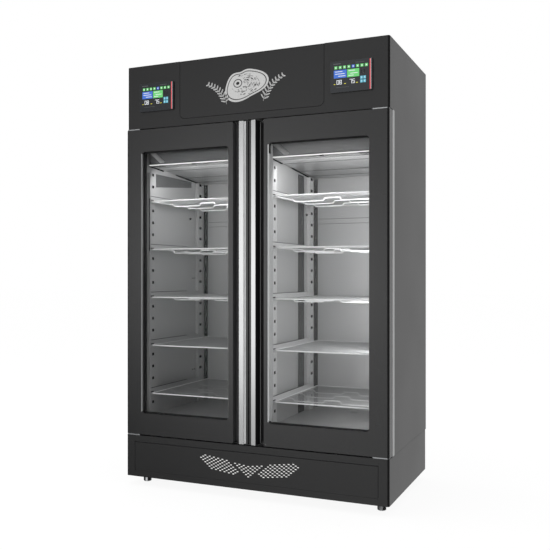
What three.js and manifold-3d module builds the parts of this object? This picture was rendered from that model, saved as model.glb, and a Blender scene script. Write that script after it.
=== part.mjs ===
// A free-standing dry aging cabinet with two glazed doors, ten wire shelves and a machine base.
// Millimetres, +Z up, X across the front, Y from the front to the back.
// Pieces are drawn with Y = 0 on the header's front face and Z = 0 on the floor.

import * as THREE from 'three';
import { mergeVertices } from 'three/addons/utils/BufferGeometryUtils.js';
import Module from 'manifold-3d';

const wasm = await Module();
wasm.setup();

// Overall size
const bodyWidth = 1342;
const bodyDepth = 717;
const bodyHeight = 2035;
const footHeight = 45;
const baseHeight = 204;
const headerHeight = 311;
const doorGap = 6;
const frontProud = 9.2;
const cornerRadius = 10;

// Sheet metal and clearances
const sheet = 1.5;
const seat = 0.3;
const overrun = 4;
const weld = 0.5;

// Insulated walls
const wallThickness = 78;
const backWallThickness = 68;
const floorThickness = 86;
const ceilingThickness = 92;
const frameReturn = 32.7;

// Doors
const doorThickness = 54.4;
const meetingGap = 6;
const sealGap = 5;
const innerStile = 101;
const outerStile = 89;
const topRail = 110.5;
const bottomRail = 105;
const windowRadius = 15;
const glassSetback = 23;
const glassEdge = 10;
const sealLip = 1;
const sealCover = 16;

// Door handles and the finger grooves beside them
const handleInset = 17;
const handleWidth = 23;
const handleDepth = 27;
const handleProud = 8.8;
const handleEndGap = 1.5;
const handleRadius = 3;
const flangeSetback = 5.2;
const grooveWidth = 37;
const grooveDepth = 38;

// Door hinges
const pivotInset = 14;
const pivotSetback = 33.2;
const pivotRadius = 5;
const pivotClearance = 0.3;
const pivotLength = 15;
const hingePlateWidth = 74;
const hingePlateThickness = 4.5;
const hingePlateInset = 2.5;

// Header and its hatch
const fasciaReturn = 61.5;
const fasciaWidth = 299;
const hatchGap = 2;
const stripHeight = 31.5;
const hatchRadius = 25;
const hatchLip = 12;
const filletTip = 0.5;
const hatchHingeRadius = 2.5;

// Touch displays
const displayWidth = 193;
const displayHeight = 138.5;
const displayThickness = 7.7;
const displayRadius = 4;
const displayShift = 21.5;
const displayBelowTop = 160;
const displayBodyMargin = 10;
const displayBodyDepth = 30;
const displayClearance = 1;

// Slotted uprights and shelf runners
const uprightWidth = 53;
const uprightDepth = 17.7;
const frontUprightGap = 4;
const rearUprightGap = 51;
const slotPitchShare = 0.044933;
const slotCount = 20;
const firstSlotHeight = 68.6;
const slotWidth = 6;
const slotHeight = 10;
const slotDepth = 6;
const runnerFlange = 14;
const runnerHeight = 28;

// Wire shelves
const shelfCount = 5;
const slotsPerShelf = 4;
const firstShelfHeight = 111.5;
const shelfPlayAside = 1.5;
const shelfFrontGap = 10;
const shelfRearGap = 7;
const shelfRim = 8;
const shelfWire = 4;
const shelfWirePitch = 40;
const shelfThickness = 6;
const waveWire = 5;
const waveDrop = 13;
const waveSlope = 12;
const waveCentre = 72;
const waveTopEnd = 28;
const waveBays = 4;

// Ceiling evaporators
const evaporatorFrontGap = 12;
const evaporatorRearGap = 9;
const evaporatorSideGap = 10;
const evaporatorFrontDrop = 83;
const evaporatorRearDrop = 114;
const outletHeight = 40;
const coilDepth = 120;
const coilHeight = 60;
const coilInset = 172;
const deflectorHead = 48;
const deflectorFoot = 150;
const deflectorWidth = 3;
const bulkheadSetback = 60;

// Evaporator fans
const coolingFanRadius = 32;
const coolingHubRadius = 11;
const coolingFanDepth = 14;

// Machine base
const baseBackInset = 15;
const postWidth = 47.5;
const postReturn = 20;
const deckRailHeight = 31;
const trayRailHeight = 31;
const trayRearLip = 40;
const panelGap = 2;
const panelTopGap = 3;
const panelLip = 20;
const panelHingeRadius = 1.5;

// Vent slots in the service panel
const ventPitch = 22.8;
const ventDropPitch = 7.9;
const ventTilt = 1.5;
const ventSlotWidth = 10.5;
const ventSlotHeight = 4.8;
const ventTopDrop = 64;
const ventWingOffset = 249;
const ventWingDrop = 12;
const ventWingRowCount = 11;
const ventWingColumnCount = 8;
const ventLowCutCount = 5;
const ventHighCutCount = 2;
const ventTriangleRowCount = 7;
const ventTriangleDrop = 23;

// Levelling feet
const footRadius = 20.3;
const footChamfer = 3;
const footInsetAside = 59.4;
const footInsetFront = 89;

// Condenser and its fan
const condenserWidthShare = 0.3577;
const condenserHeight = 140;
const condenserDepth = 40;
const condenserSetback = 60;
const shroudDepth = 30;
const machineFanRadius = 60;
const machineHubRadius = 20;
const machineFanDepth = 20;
const fanTipClearance = 4;
const fanBoreClearance = 0.3;
const fanShaftRadius = 3;
const fanBladeCount = 5;
const fanBladeThickness = 2;
const fanBladePitchDegrees = 35;
const motorBarWidth = 24;
const motorRadiusShare = 0.8;

// Compressor
const compressorRadius = 80;
const compressorHeight = 150;
const compressorShoulder = 28;
const compressorPlateWidth = 210;
const compressorPlateDepth = 170;
const compressorPlateThickness = 5;
const compressorAsideShare = 0.626;
const compressorSetback = 380;

// Control box in the header
const controlBoxWidth = 420;
const controlBoxDepth = 230;
const controlBoxHeight = 120;
const controlBoxSetback = 140;
const controlBoxRadius = 8;

// Facets of round shapes
const arcSegments = 4;
const pinSegments = 12;
const roundSegments = 24;

// Places worked out from the sizes
const halfWidth = bodyWidth / 2;
const baseBottom = footHeight;
const baseTop = baseBottom + baseHeight;
const bodyTop = baseBottom + bodyHeight;
const doorBottom = baseTop + doorGap;
const headerBottom = bodyTop - headerHeight;
const doorTop = headerBottom - doorGap;
const doorFront = -frontProud;
const doorBack = doorFront + doorThickness;
const handleFront = doorFront - handleProud;
const wallFront = doorBack + sealGap;
const wallBack = bodyDepth - sheet - seat;
const backWallFront = bodyDepth - backWallThickness;
const wallInside = halfWidth - wallThickness;
const floorTop = baseTop + floorThickness;
const ceilingBottom = headerBottom - ceilingThickness;
const frameBack = wallFront + frameReturn;
const slotPitch = (ceilingBottom - floorTop) * slotPitchShare;
const fasciaInside = halfWidth - fasciaWidth;
const hatchWidth = (fasciaInside - hatchGap) * 2;
const halfCentre = halfWidth / 2;

const group = new THREE.Group();
group.name = 'dry_aging_cabinet';
group.position.y = -(handleFront + bodyDepth) / 2;
const rightHalf = new THREE.Group();
const leftHalf = new THREE.Group();
leftHalf.scale.x = -1;
group.add(rightHalf, leftHalf);

// Materials
const paint = new THREE.MeshStandardMaterial({ color: 0x2f2f31, roughness: 0.45, metalness: 0.2 });
const stainless = new THREE.MeshStandardMaterial({ color: 0xb9bbbd, roughness: 0.3, metalness: 1 });
const brushed = new THREE.MeshStandardMaterial({ color: 0xd8d9da, roughness: 0.25, metalness: 1 });
const wire = new THREE.MeshStandardMaterial({ color: 0xc9cbcd, roughness: 0.2, metalness: 1 });
const zinc = new THREE.MeshStandardMaterial({ color: 0x8d9194, roughness: 0.5, metalness: 0.8 });
const rubber = new THREE.MeshStandardMaterial({ color: 0x1b1b1c, roughness: 0.85, metalness: 0 });
const blackSteel = new THREE.MeshStandardMaterial({ color: 0x151516, roughness: 0.5, metalness: 0.3 });
const plastic = new THREE.MeshStandardMaterial({ color: 0x26272a, roughness: 0.35, metalness: 0 });
const glass = new THREE.MeshStandardMaterial({
  color: 0xdfe9e6, roughness: 0.02, metalness: 0, transparent: true, opacity: 0.2,
});

// Turns a closed three.js geometry into a solid that can be joined and cut.
function solid(geometry) {
  const bare = geometry.clone();
  bare.deleteAttribute('normal');
  bare.deleteAttribute('uv');
  const merged = mergeVertices(bare);
  return new wasm.Manifold(new wasm.Mesh({
    numProp: 3,
    vertProperties: merged.attributes.position.array,
    triVerts: merged.index.array,
  }));
}

// Turns a solid back into a three.js geometry.
function geometryOf(body) {
  const { vertProperties, triVerts } = body.getMesh();
  const geometry = new THREE.BufferGeometry();
  geometry.setAttribute('position', new THREE.BufferAttribute(Float32Array.from(vertProperties), 3));
  geometry.setIndex(Array.from(triVerts));
  geometry.computeVertexNormals();
  return geometry;
}

function join(first, ...others) {
  return others.reduce((sum, other) => sum.add(other), first);
}

function cut(first, ...others) {
  return others.reduce((rest, other) => rest.subtract(other), first);
}

// A box between two corners.
function block([x0, y0, z0], [x1, y1, z1]) {
  const geometry = new THREE.BoxGeometry(x1 - x0, y1 - y0, z1 - z0);
  return solid(geometry.translate((x0 + x1) / 2, (y0 + y1) / 2, (z0 + z1) / 2));
}

function outline(points) {
  return new THREE.Shape(points.map(([a, b]) => new THREE.Vector2(a, b)));
}

// A prism of an outline in X and Y, from one height to another.
function prismUp(shape, z0, z1) {
  const geometry = new THREE.ExtrudeGeometry(shape, {
    depth: z1 - z0, bevelEnabled: false, curveSegments: arcSegments,
  });
  return solid(geometry.translate(0, 0, z0));
}

// A prism of an outline in Y and Z, from one X to another.
function prismAcross(shape, x0, x1) {
  const geometry = new THREE.ExtrudeGeometry(shape, {
    depth: x1 - x0, bevelEnabled: false, curveSegments: arcSegments,
  });
  const turn = new THREE.Matrix4().makeBasis(
    new THREE.Vector3(0, 1, 0), new THREE.Vector3(0, 0, 1), new THREE.Vector3(1, 0, 0),
  );
  return solid(geometry.applyMatrix4(turn).translate(x0, 0, 0));
}

// A prism of an outline in X and Z, from one Y to another.
function prismInward(shape, y0, y1) {
  const geometry = new THREE.ExtrudeGeometry(shape, {
    depth: y1 - y0, bevelEnabled: false, curveSegments: arcSegments,
  });
  const turn = new THREE.Matrix4().makeBasis(
    new THREE.Vector3(1, 0, 0), new THREE.Vector3(0, 0, 1), new THREE.Vector3(0, -1, 0),
  );
  return solid(geometry.applyMatrix4(turn).translate(0, y1, 0));
}

// A round bar along an axis ('x', 'y' or 'z'), centred on a point.
function bar(axis, radius, length, [x, y, z], segments = pinSegments) {
  const geometry = new THREE.CylinderGeometry(radius, radius, length, segments);
  if (axis === 'x') geometry.rotateZ(Math.PI / 2);
  if (axis === 'z') geometry.rotateX(Math.PI / 2);
  return solid(geometry.translate(x, y, z));
}

function roundedRectangle(x0, y0, x1, y1, radius) {
  const shape = new THREE.Shape();
  shape.absarc(x1 - radius, y0 + radius, radius, -Math.PI / 2, 0, false);
  shape.absarc(x1 - radius, y1 - radius, radius, 0, Math.PI / 2, false);
  shape.absarc(x0 + radius, y1 - radius, radius, Math.PI / 2, Math.PI, false);
  shape.absarc(x0 + radius, y0 + radius, radius, Math.PI, Math.PI * 1.5, false);
  return shape;
}

// Adds one piece that stands on the middle line.
function single(name, body, material) {
  const mesh = new THREE.Mesh(geometryOf(body), material);
  mesh.name = name;
  group.add(mesh);
}

// Adds a piece drawn for the right half, and its mirror image in the left half.
function pair(name, body, material) {
  const geometry = geometryOf(body);
  for (const [half, side] of [[rightHalf, 'right'], [leftHalf, 'left']]) {
    const mesh = new THREE.Mesh(geometry, material);
    mesh.name = `${name}_${side}`;
    half.add(mesh);
  }
}

// Insulated walls: foamed panels with stainless skins, which also make the door frame.
function insulatedWalls() {
  const skinnedSide = halfWidth - sheet - seat;
  const side = outline([
    [wallInside, wallFront], [halfWidth, wallFront], [halfWidth, frameBack],
    [skinnedSide, frameBack], [skinnedSide, wallBack], [wallInside, wallBack],
  ]);
  pair('wall', prismUp(side, baseTop + seat, headerBottom - seat), stainless);

  const between = wallInside - seat;
  const panelBack = backWallFront - seat;
  single('back_wall', block(
    [-between, backWallFront, baseTop + seat], [between, wallBack, headerBottom - seat],
  ), stainless);
  single('floor_panel', block(
    [-between, wallFront, baseTop + seat], [between, panelBack, floorTop],
  ), stainless);
  single('ceiling_panel', block(
    [-between, wallFront, ceilingBottom], [between, panelBack, headerBottom - seat],
  ), stainless);
  single('partition', block(
    [-wallThickness, wallFront, floorTop + seat], [wallThickness, panelBack, ceilingBottom - seat],
  ), stainless);
}

// Painted outer casing.
function casing() {
  const skinTop = bodyTop - sheet - seat;
  const sideSkin = outline([
    [frameBack + seat, baseTop + seat], [wallBack, baseTop + seat], [wallBack, skinTop],
    [fasciaReturn + seat, skinTop], [fasciaReturn + seat, headerBottom + seat],
    [frameBack + seat, headerBottom + seat],
  ]);
  pair('side_panel', prismAcross(sideSkin, halfWidth - sheet, halfWidth), paint);
  single('back_panel', block(
    [-halfWidth, bodyDepth - sheet, baseTop + seat], [halfWidth, bodyDepth, skinTop],
  ), paint);

  const notch = fasciaInside;
  const lid = new THREE.Shape();
  lid.moveTo(-notch, 0);
  lid.lineTo(-notch, hatchHingeRadius);
  lid.lineTo(notch, hatchHingeRadius);
  lid.lineTo(notch, 0);
  lid.absarc(halfWidth - cornerRadius, cornerRadius, cornerRadius, -Math.PI / 2, 0, false);
  lid.lineTo(halfWidth, bodyDepth);
  lid.lineTo(-halfWidth, bodyDepth);
  lid.absarc(-halfWidth + cornerRadius, cornerRadius, cornerRadius, Math.PI, Math.PI * 1.5, false);
  const barrel = bar('x', hatchHingeRadius, hatchWidth, [0, hatchHingeRadius, bodyTop - hatchHingeRadius]);
  single('top_panel', join(prismUp(lid, bodyTop - sheet, bodyTop), barrel), paint);
}

// Header: folded fascias with the displays, the strip under the hatch, and the hatch itself.
function header() {
  const skinTop = bodyTop - sheet - seat;
  const arcX = halfWidth - cornerRadius;
  const displayX = (fasciaInside + halfWidth) / 2 - displayShift;
  const displayZ = bodyTop - displayBelowTop;
  const bodyHalfWidth = displayWidth / 2 - displayBodyMargin;
  const bodyHalfHeight = displayHeight / 2 - displayBodyMargin;

  const folded = new THREE.Shape();
  folded.moveTo(fasciaInside, sheet);
  folded.lineTo(fasciaInside, 0);
  folded.absarc(arcX, cornerRadius, cornerRadius, -Math.PI / 2, 0, false);
  folded.lineTo(halfWidth, fasciaReturn);
  folded.lineTo(halfWidth - sheet, fasciaReturn);
  folded.absarc(arcX, cornerRadius, cornerRadius - sheet, 0, -Math.PI / 2, true);
  const displayHole = block(
    [
      displayX - bodyHalfWidth - displayClearance, -overrun,
      displayZ - bodyHalfHeight - displayClearance,
    ],
    [
      displayX + bodyHalfWidth + displayClearance, sheet + overrun,
      displayZ + bodyHalfHeight + displayClearance,
    ],
  );
  pair('header_fascia', cut(prismUp(folded, headerBottom, skinTop), displayHole), paint);

  const bezel = roundedRectangle(
    displayX - displayWidth / 2, displayZ - displayHeight / 2,
    displayX + displayWidth / 2, displayZ + displayHeight / 2, displayRadius,
  );
  const displayBody = block(
    [displayX - bodyHalfWidth, -seat - weld, displayZ - bodyHalfHeight],
    [displayX + bodyHalfWidth, displayBodyDepth, displayZ + bodyHalfHeight],
  );
  pair('display', join(prismInward(bezel, -displayThickness - seat, -seat), displayBody), plastic);

  const stripEnd = fasciaInside - seat;
  const stripTop = headerBottom + stripHeight;
  const hatchBottom = stripTop + hatchGap;
  const hatchTop = bodyTop - hatchHingeRadius * 2 - seat;
  const openingRadius = hatchRadius + hatchGap;
  const arcCentreX = hatchWidth / 2 - hatchRadius;
  const arcCentreZ = hatchBottom + hatchRadius;
  const tipAngle = Math.acos((stripEnd - filletTip - arcCentreX) / openingRadius);
  const strip = new THREE.Shape();
  strip.moveTo(-stripEnd, headerBottom);
  strip.lineTo(stripEnd, headerBottom);
  strip.lineTo(stripEnd, arcCentreZ - openingRadius * Math.sin(tipAngle));
  strip.absarc(arcCentreX, arcCentreZ, openingRadius, -tipAngle, -Math.PI / 2, true);
  strip.absarc(-arcCentreX, arcCentreZ, openingRadius, -Math.PI / 2, -Math.PI + tipAngle, true);
  strip.lineTo(-stripEnd, arcCentreZ - openingRadius * Math.sin(tipAngle));

  const behindFascia = sheet + seat;
  const innerSide = halfWidth - behindFascia;
  const returnBack = wallFront - seat;
  const underside = new THREE.Shape();
  underside.moveTo(-stripEnd, 0);
  underside.lineTo(stripEnd, 0);
  underside.lineTo(stripEnd, behindFascia);
  underside.absarc(arcX, cornerRadius, cornerRadius - behindFascia, -Math.PI / 2, 0, false);
  underside.lineTo(innerSide, returnBack);
  underside.lineTo(-innerSide, returnBack);
  underside.absarc(-arcX, cornerRadius, cornerRadius - behindFascia, Math.PI, Math.PI * 1.5, false);
  underside.lineTo(-stripEnd, behindFascia);
  single('header_strip', join(
    prismInward(strip, 0, sheet), prismUp(underside, headerBottom, headerBottom + sheet),
  ), paint);

  single('hatch', cut(
    prismInward(hatchOutline(0, hatchTop, hatchBottom), 0, hatchLip),
    prismInward(hatchOutline(sheet, hatchTop + overrun, hatchBottom), sheet, hatchLip + overrun),
  ), paint);

  single('control_box', prismUp(
    roundedRectangle(
      -controlBoxWidth / 2, controlBoxSetback, controlBoxWidth / 2,
      controlBoxSetback + controlBoxDepth, controlBoxRadius,
    ),
    headerBottom, headerBottom + controlBoxHeight,
  ), zinc);
}

// The hatch seen from the front, drawn in by an inset along its sides and bottom.
function hatchOutline(inset, top, bottom) {
  const side = hatchWidth / 2 - inset;
  const radius = hatchRadius - inset;
  const shape = new THREE.Shape();
  shape.moveTo(side, top);
  shape.lineTo(-side, top);
  shape.absarc(-side + radius, bottom + inset + radius, radius, Math.PI, Math.PI * 1.5, false);
  shape.absarc(side - radius, bottom + inset + radius, radius, -Math.PI / 2, 0, false);
  return shape;
}

// Doors: foamed leaf with a groove and handle seat at its inner edge, glass, gasket and handle.
function doors() {
  const leafInside = meetingGap / 2;
  const handleX0 = leafInside + handleInset;
  const handleX1 = handleX0 + handleWidth;
  const handleBack = handleFront + handleDepth;
  const grooveX1 = handleX1 + grooveWidth;
  const grooveBottom = doorFront + grooveDepth;
  const flangeFront = doorFront + flangeSetback;
  const leaf = new THREE.Shape();
  leaf.moveTo(leafInside, doorBack);
  leaf.lineTo(leafInside, flangeFront);
  leaf.lineTo(handleX0 - seat, flangeFront);
  leaf.lineTo(handleX0 - seat, handleBack + seat);
  leaf.lineTo(handleX1, handleBack + seat);
  leaf.lineTo(handleX1, grooveBottom);
  leaf.lineTo(grooveX1, grooveBottom);
  leaf.lineTo(grooveX1, doorFront);
  leaf.absarc(halfWidth - cornerRadius, doorFront + cornerRadius, cornerRadius, -Math.PI / 2, 0, false);
  leaf.lineTo(halfWidth, doorBack);

  const windowX0 = leafInside + innerStile;
  const windowX1 = halfWidth - outerStile;
  const windowZ0 = doorBottom + bottomRail;
  const windowZ1 = doorTop - topRail;
  const glassFront = doorFront + glassSetback;
  const windowHole = roundedRectangle(windowX0, windowZ0, windowX1, windowZ1, windowRadius);
  const rebate = block(
    [windowX0 - glassEdge, glassFront, windowZ0 - glassEdge],
    [windowX1 + glassEdge, doorBack + overrun, windowZ1 + glassEdge],
  );
  const pivotX = halfWidth - pivotInset;
  const pivotY = doorFront + pivotSetback;
  const boreRadius = pivotRadius + pivotClearance;
  const boreDepth = pivotLength + overrun;
  const lowerBore = bar('z', boreRadius, boreDepth * 2, [pivotX, pivotY, doorBottom]);
  const upperBore = bar('z', boreRadius, boreDepth * 2, [pivotX, pivotY, doorTop]);
  pair('door_frame', cut(
    prismUp(leaf, doorBottom, doorTop),
    prismInward(windowHole, doorFront - overrun, doorBack + overrun),
    rebate, lowerBore, upperBore,
  ), paint);

  const paneEdge = glassEdge - seat;
  pair('door_glass', block(
    [windowX0 - paneEdge, glassFront + seat, windowZ0 - paneEdge],
    [windowX1 + paneEdge, doorBack, windowZ1 + paneEdge],
  ), glass);

  const gasket = outline([
    [wallThickness - sealCover, floorTop - sealCover], [wallInside + sealCover, floorTop - sealCover],
    [wallInside + sealCover, ceilingBottom + sealCover],
    [wallThickness - sealCover, ceilingBottom + sealCover],
  ]);
  gasket.holes.push(outline([
    [wallThickness + sealLip, floorTop + sealLip],
    [wallThickness + sealLip, ceilingBottom - sealLip],
    [wallInside - sealLip, ceilingBottom - sealLip],
    [wallInside - sealLip, floorTop + sealLip],
  ]));
  pair('door_gasket', prismInward(gasket, doorBack + seat, wallFront - seat), rubber);

  pair('door_handle', prismUp(
    roundedRectangle(handleX0, handleFront, handleX1, handleBack, handleRadius),
    doorBottom + handleEndGap, doorTop - handleEndGap,
  ), brushed);

  const plateX0 = halfWidth - hingePlateWidth;
  const plateX1 = halfWidth - hingePlateInset;
  const plateY0 = doorFront + hingePlateInset;
  const plateArcX = halfWidth - cornerRadius;
  const plateArcY = doorFront + cornerRadius;
  const plate = new THREE.Shape();
  plate.moveTo(plateX0, wallFront - seat);
  plate.lineTo(plateX0, plateY0);
  plate.absarc(plateArcX, plateArcY, cornerRadius - hingePlateInset, -Math.PI / 2, 0, false);
  plate.lineTo(plateX1, wallFront - seat);
  const lowerPlateTop = baseTop + seat + hingePlateThickness;
  const lowerPinTop = doorBottom + pivotLength;
  const lowerPin = bar(
    'z', pivotRadius, lowerPinTop - lowerPlateTop + weld,
    [pivotX, pivotY, (lowerPinTop + lowerPlateTop - weld) / 2],
  );
  pair('hinge_bottom', join(prismUp(plate, baseTop + seat, lowerPlateTop), lowerPin), zinc);
  const upperPlateBottom = headerBottom - seat - hingePlateThickness;
  const upperPinBottom = doorTop - pivotLength;
  const upperPin = bar(
    'z', pivotRadius, upperPlateBottom - upperPinBottom + weld,
    [pivotX, pivotY, (upperPlateBottom + upperPinBottom + weld) / 2],
  );
  pair('hinge_top', join(prismUp(plate, upperPlateBottom, headerBottom - seat), upperPin), zinc);
}

// One side rack: two slotted uprights joined by a runner at each shelf.
function rackBody(uprightTop) {
  const wallX = wallThickness + seat;
  const faceX = wallX + uprightDepth;
  const frontY = wallFront + frontUprightGap;
  const rearY = backWallFront - rearUprightGap;
  let body = null;
  for (const y of [frontY, rearY - uprightWidth]) {
    let upright = block([wallX, y, floorTop + seat], [faceX, y + uprightWidth, uprightTop]);
    for (let i = 0; i < slotCount; i += 1) {
      const z = floorTop + firstSlotHeight + i * slotPitch;
      const middle = y + uprightWidth / 2;
      if (z + slotHeight / 2 < uprightTop && !hookFills(z)) {
        upright = upright.subtract(block(
          [faceX - slotDepth, middle - slotWidth / 2, z - slotHeight / 2],
          [faceX + overrun, middle + slotWidth / 2, z + slotHeight / 2],
        ));
      }
    }
    body = body ? body.add(upright) : upright;
  }
  for (let i = 0; i < shelfCount; i += 1) {
    const z = shelfBottom(i) - seat;
    const profile = outline([
      [faceX - weld, z + runnerHeight], [faceX - weld, z - sheet], [faceX + runnerFlange, z - sheet],
      [faceX + runnerFlange, z], [faceX + sheet, z], [faceX + sheet, z + runnerHeight],
    ]);
    body = body.add(prismInward(profile, frontY, rearY));
  }
  return body;
}

// The underside of the rim of a shelf, counted from the floor of the compartment.
function shelfBottom(i) {
  return floorTop + firstShelfHeight + i * slotPitch * slotsPerShelf;
}

// A runner covers one slot of each upright, and its hook fills that slot.
function hookFills(z) {
  for (let i = 0; i < shelfCount; i += 1) {
    if (z > shelfBottom(i) && z < shelfBottom(i) + runnerHeight) return true;
  }
  return false;
}

// One wire shelf: a rim, bars from front to back, and bent wires across under them.
function shelfBody() {
  const faceX = wallThickness + seat + uprightDepth;
  const x0 = faceX + sheet + shelfPlayAside;
  const x1 = halfWidth - x0;
  const y0 = wallFront + shelfFrontGap;
  const y1 = backWallFront - shelfRearGap;
  const insideWidth = x1 - x0 - shelfRim * 2;
  const gaps = Math.round(insideWidth / shelfWirePitch);
  const pitch = (insideWidth + shelfWire) / gaps;
  let body = block([x0, y0, 0], [x1, y1, shelfThickness]);
  for (let i = 0; i < gaps; i += 1) {
    const left = x0 + shelfRim + i * pitch;
    body = body.subtract(block(
      [left, y0 + shelfRim, -overrun],
      [left + pitch - shelfWire, y1 - shelfRim, shelfThickness + overrun],
    ));
  }
  for (let i = 1; i < waveBays; i += 1) {
    const middle = y0 + (y1 - y0) * i / waveBays;
    const wave = waveOutline(x0 + shelfRim - weld, x1 - shelfRim + weld);
    body = body.add(prismInward(wave, middle - waveWire / 2, middle + waveWire / 2));
  }
  return body;
}

// A bent wire seen from the front: level at its ends, dropped on each side, raised in the middle.
function waveOutline(x0, x1) {
  const top = shelfThickness - weld;
  const low = top - waveDrop;
  const centre = (x0 + x1) / 2;
  const bends = [
    [x0, top], [x0 + waveTopEnd, top], [x0 + waveTopEnd + waveSlope, low],
    [centre - waveCentre / 2 - waveSlope, low], [centre - waveCentre / 2, top],
    [centre + waveCentre / 2, top], [centre + waveCentre / 2 + waveSlope, low],
    [x1 - waveTopEnd - waveSlope, low], [x1 - waveTopEnd, top], [x1, top],
  ];
  const underside = bends.map(([x, z]) => [x, z - waveWire]).reverse();
  return outline([...bends, ...underside]);
}

// Racks and shelves of one compartment, with its mirror image.
function shelving(uprightTop) {
  const inner = geometryOf(rackBody(uprightTop));
  const shelf = geometryOf(shelfBody());
  for (const [half, side] of [[rightHalf, 'right'], [leftHalf, 'left']]) {
    const innerRack = new THREE.Mesh(inner, stainless);
    innerRack.name = `rack_inner_${side}`;
    const outerRack = new THREE.Mesh(inner, stainless);
    outerRack.name = `rack_outer_${side}`;
    outerRack.scale.x = -1;
    outerRack.position.x = halfWidth;
    half.add(innerRack, outerRack);
    for (let i = 0; i < shelfCount; i += 1) {
      const mesh = new THREE.Mesh(shelf, wire);
      mesh.name = `shelf_${side}_${i + 1}`;
      mesh.position.z = shelfBottom(i);
      half.add(mesh);
    }
  }
}

// A fan rotor on an axis along Y, with its bore open to the back.
function rotorBody(tipRadius, hubRadius, depth, [x, y, z]) {
  const bore = fanShaftRadius + fanBoreClearance;
  const bladeWidth = depth / Math.sin(THREE.MathUtils.degToRad(fanBladePitchDegrees));
  let body = bar('y', hubRadius, depth, [0, 0, 0]);
  for (let i = 0; i < fanBladeCount; i += 1) {
    const blade = new THREE.BoxGeometry(fanBladeThickness, bladeWidth * motorRadiusShare, tipRadius - weld);
    blade.translate(0, 0, (tipRadius + weld) / 2);
    blade.rotateZ(THREE.MathUtils.degToRad(90 - fanBladePitchDegrees));
    blade.rotateY((i * Math.PI * 2) / fanBladeCount);
    body = body.add(solid(blade));
  }
  body = body.subtract(bar('y', bore, depth, [0, depth / 2, 0]));
  return body.translate([x, y, z]);
}

// The shaft that carries a rotor, its motor and the bar that holds the motor.
function motorBody(rotorDepth, motorRadius, barHalfWidth, barBottom, barTop, [x, y, z]) {
  const shaftFront = y + seat;
  const motorFront = y + rotorDepth / 2 + fanTipClearance;
  const motorBack = motorFront + motorBarWidth;
  return join(
    bar('y', fanShaftRadius, motorFront - shaftFront + weld, [x, (shaftFront + motorFront + weld) / 2, z]),
    bar('y', motorRadius, motorBarWidth, [x, (motorFront + motorBack) / 2, z]),
    block([x - barHalfWidth, motorBack - sheet, barBottom], [x + barHalfWidth, motorBack, barTop]),
  );
}

// Ceiling evaporators: a tray that slopes to the back, with a coil, a bulkhead and a fan in it.
function evaporators() {
  const x0 = wallThickness + evaporatorSideGap;
  const x1 = wallInside - evaporatorSideGap;
  const y0 = wallFront + evaporatorFrontGap;
  const y1 = backWallFront - evaporatorRearGap;
  const top = ceilingBottom - seat;
  const frontBottom = ceilingBottom - evaporatorFrontDrop;
  const rearBottom = ceilingBottom - evaporatorRearDrop;
  const slope = (rearBottom - frontBottom) / (y1 - y0);
  const headY = y0 + deflectorHead;
  const footY = y0 + deflectorFoot;
  const trayTop = (y) => frontBottom + sheet + slope * (y - y0);
  const tray = outline([
    [y0, frontBottom], [y1, rearBottom], [y1, top], [headY, top], [footY, trayTop(footY)],
    [y0, trayTop(y0)],
  ]);
  const inside = outline([
    [footY + deflectorWidth, trayTop(footY + deflectorWidth)], [y1 + overrun, trayTop(y1 + overrun)],
    [y1 + overrun, rearBottom + sheet + outletHeight], [y1 - sheet, rearBottom + sheet + outletHeight],
    [y1 - sheet, top + overrun], [headY + deflectorWidth, top + overrun], [headY + deflectorWidth, top],
  ]);
  const shell = cut(prismAcross(tray, x0, x1), prismAcross(inside, x0 + sheet, x1 - sheet));

  const bulkheadY = y1 - bulkheadSetback;
  const fanZ = top - evaporatorFrontDrop / 2;
  const holeRadius = coolingFanRadius + fanTipClearance;
  const bulkhead = cut(
    block([x0 + weld, bulkheadY, fanZ - holeRadius - overrun], [x1 - weld, bulkheadY + sheet, top]),
    bar('y', holeRadius, overrun * 2, [halfCentre, bulkheadY, fanZ], roundSegments),
  );
  const coilY = y0 + coilInset;
  const coil = block([x0 + weld, coilY, top - coilHeight], [x1 - weld, coilY + coilDepth, top]);
  const rotorY = bulkheadY - coolingFanDepth / 2;
  const motor = motorBody(
    coolingFanDepth, coolingHubRadius * motorRadiusShare, motorBarWidth / 4,
    fanZ - coolingHubRadius, top, [halfCentre, rotorY, fanZ],
  );
  const held = block(
    [halfCentre - motorBarWidth / 4, bulkheadY, top - sheet],
    [halfCentre + motorBarWidth / 4, rotorY + coolingFanDepth + motorBarWidth, top],
  );
  pair('evaporator', join(shell, bulkhead, coil, motor, held), stainless);
  pair('evaporator_fan', rotorBody(
    coolingFanRadius, coolingHubRadius, coolingFanDepth, [halfCentre, rotorY, fanZ],
  ), plastic);
  return rearBottom;
}

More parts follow.
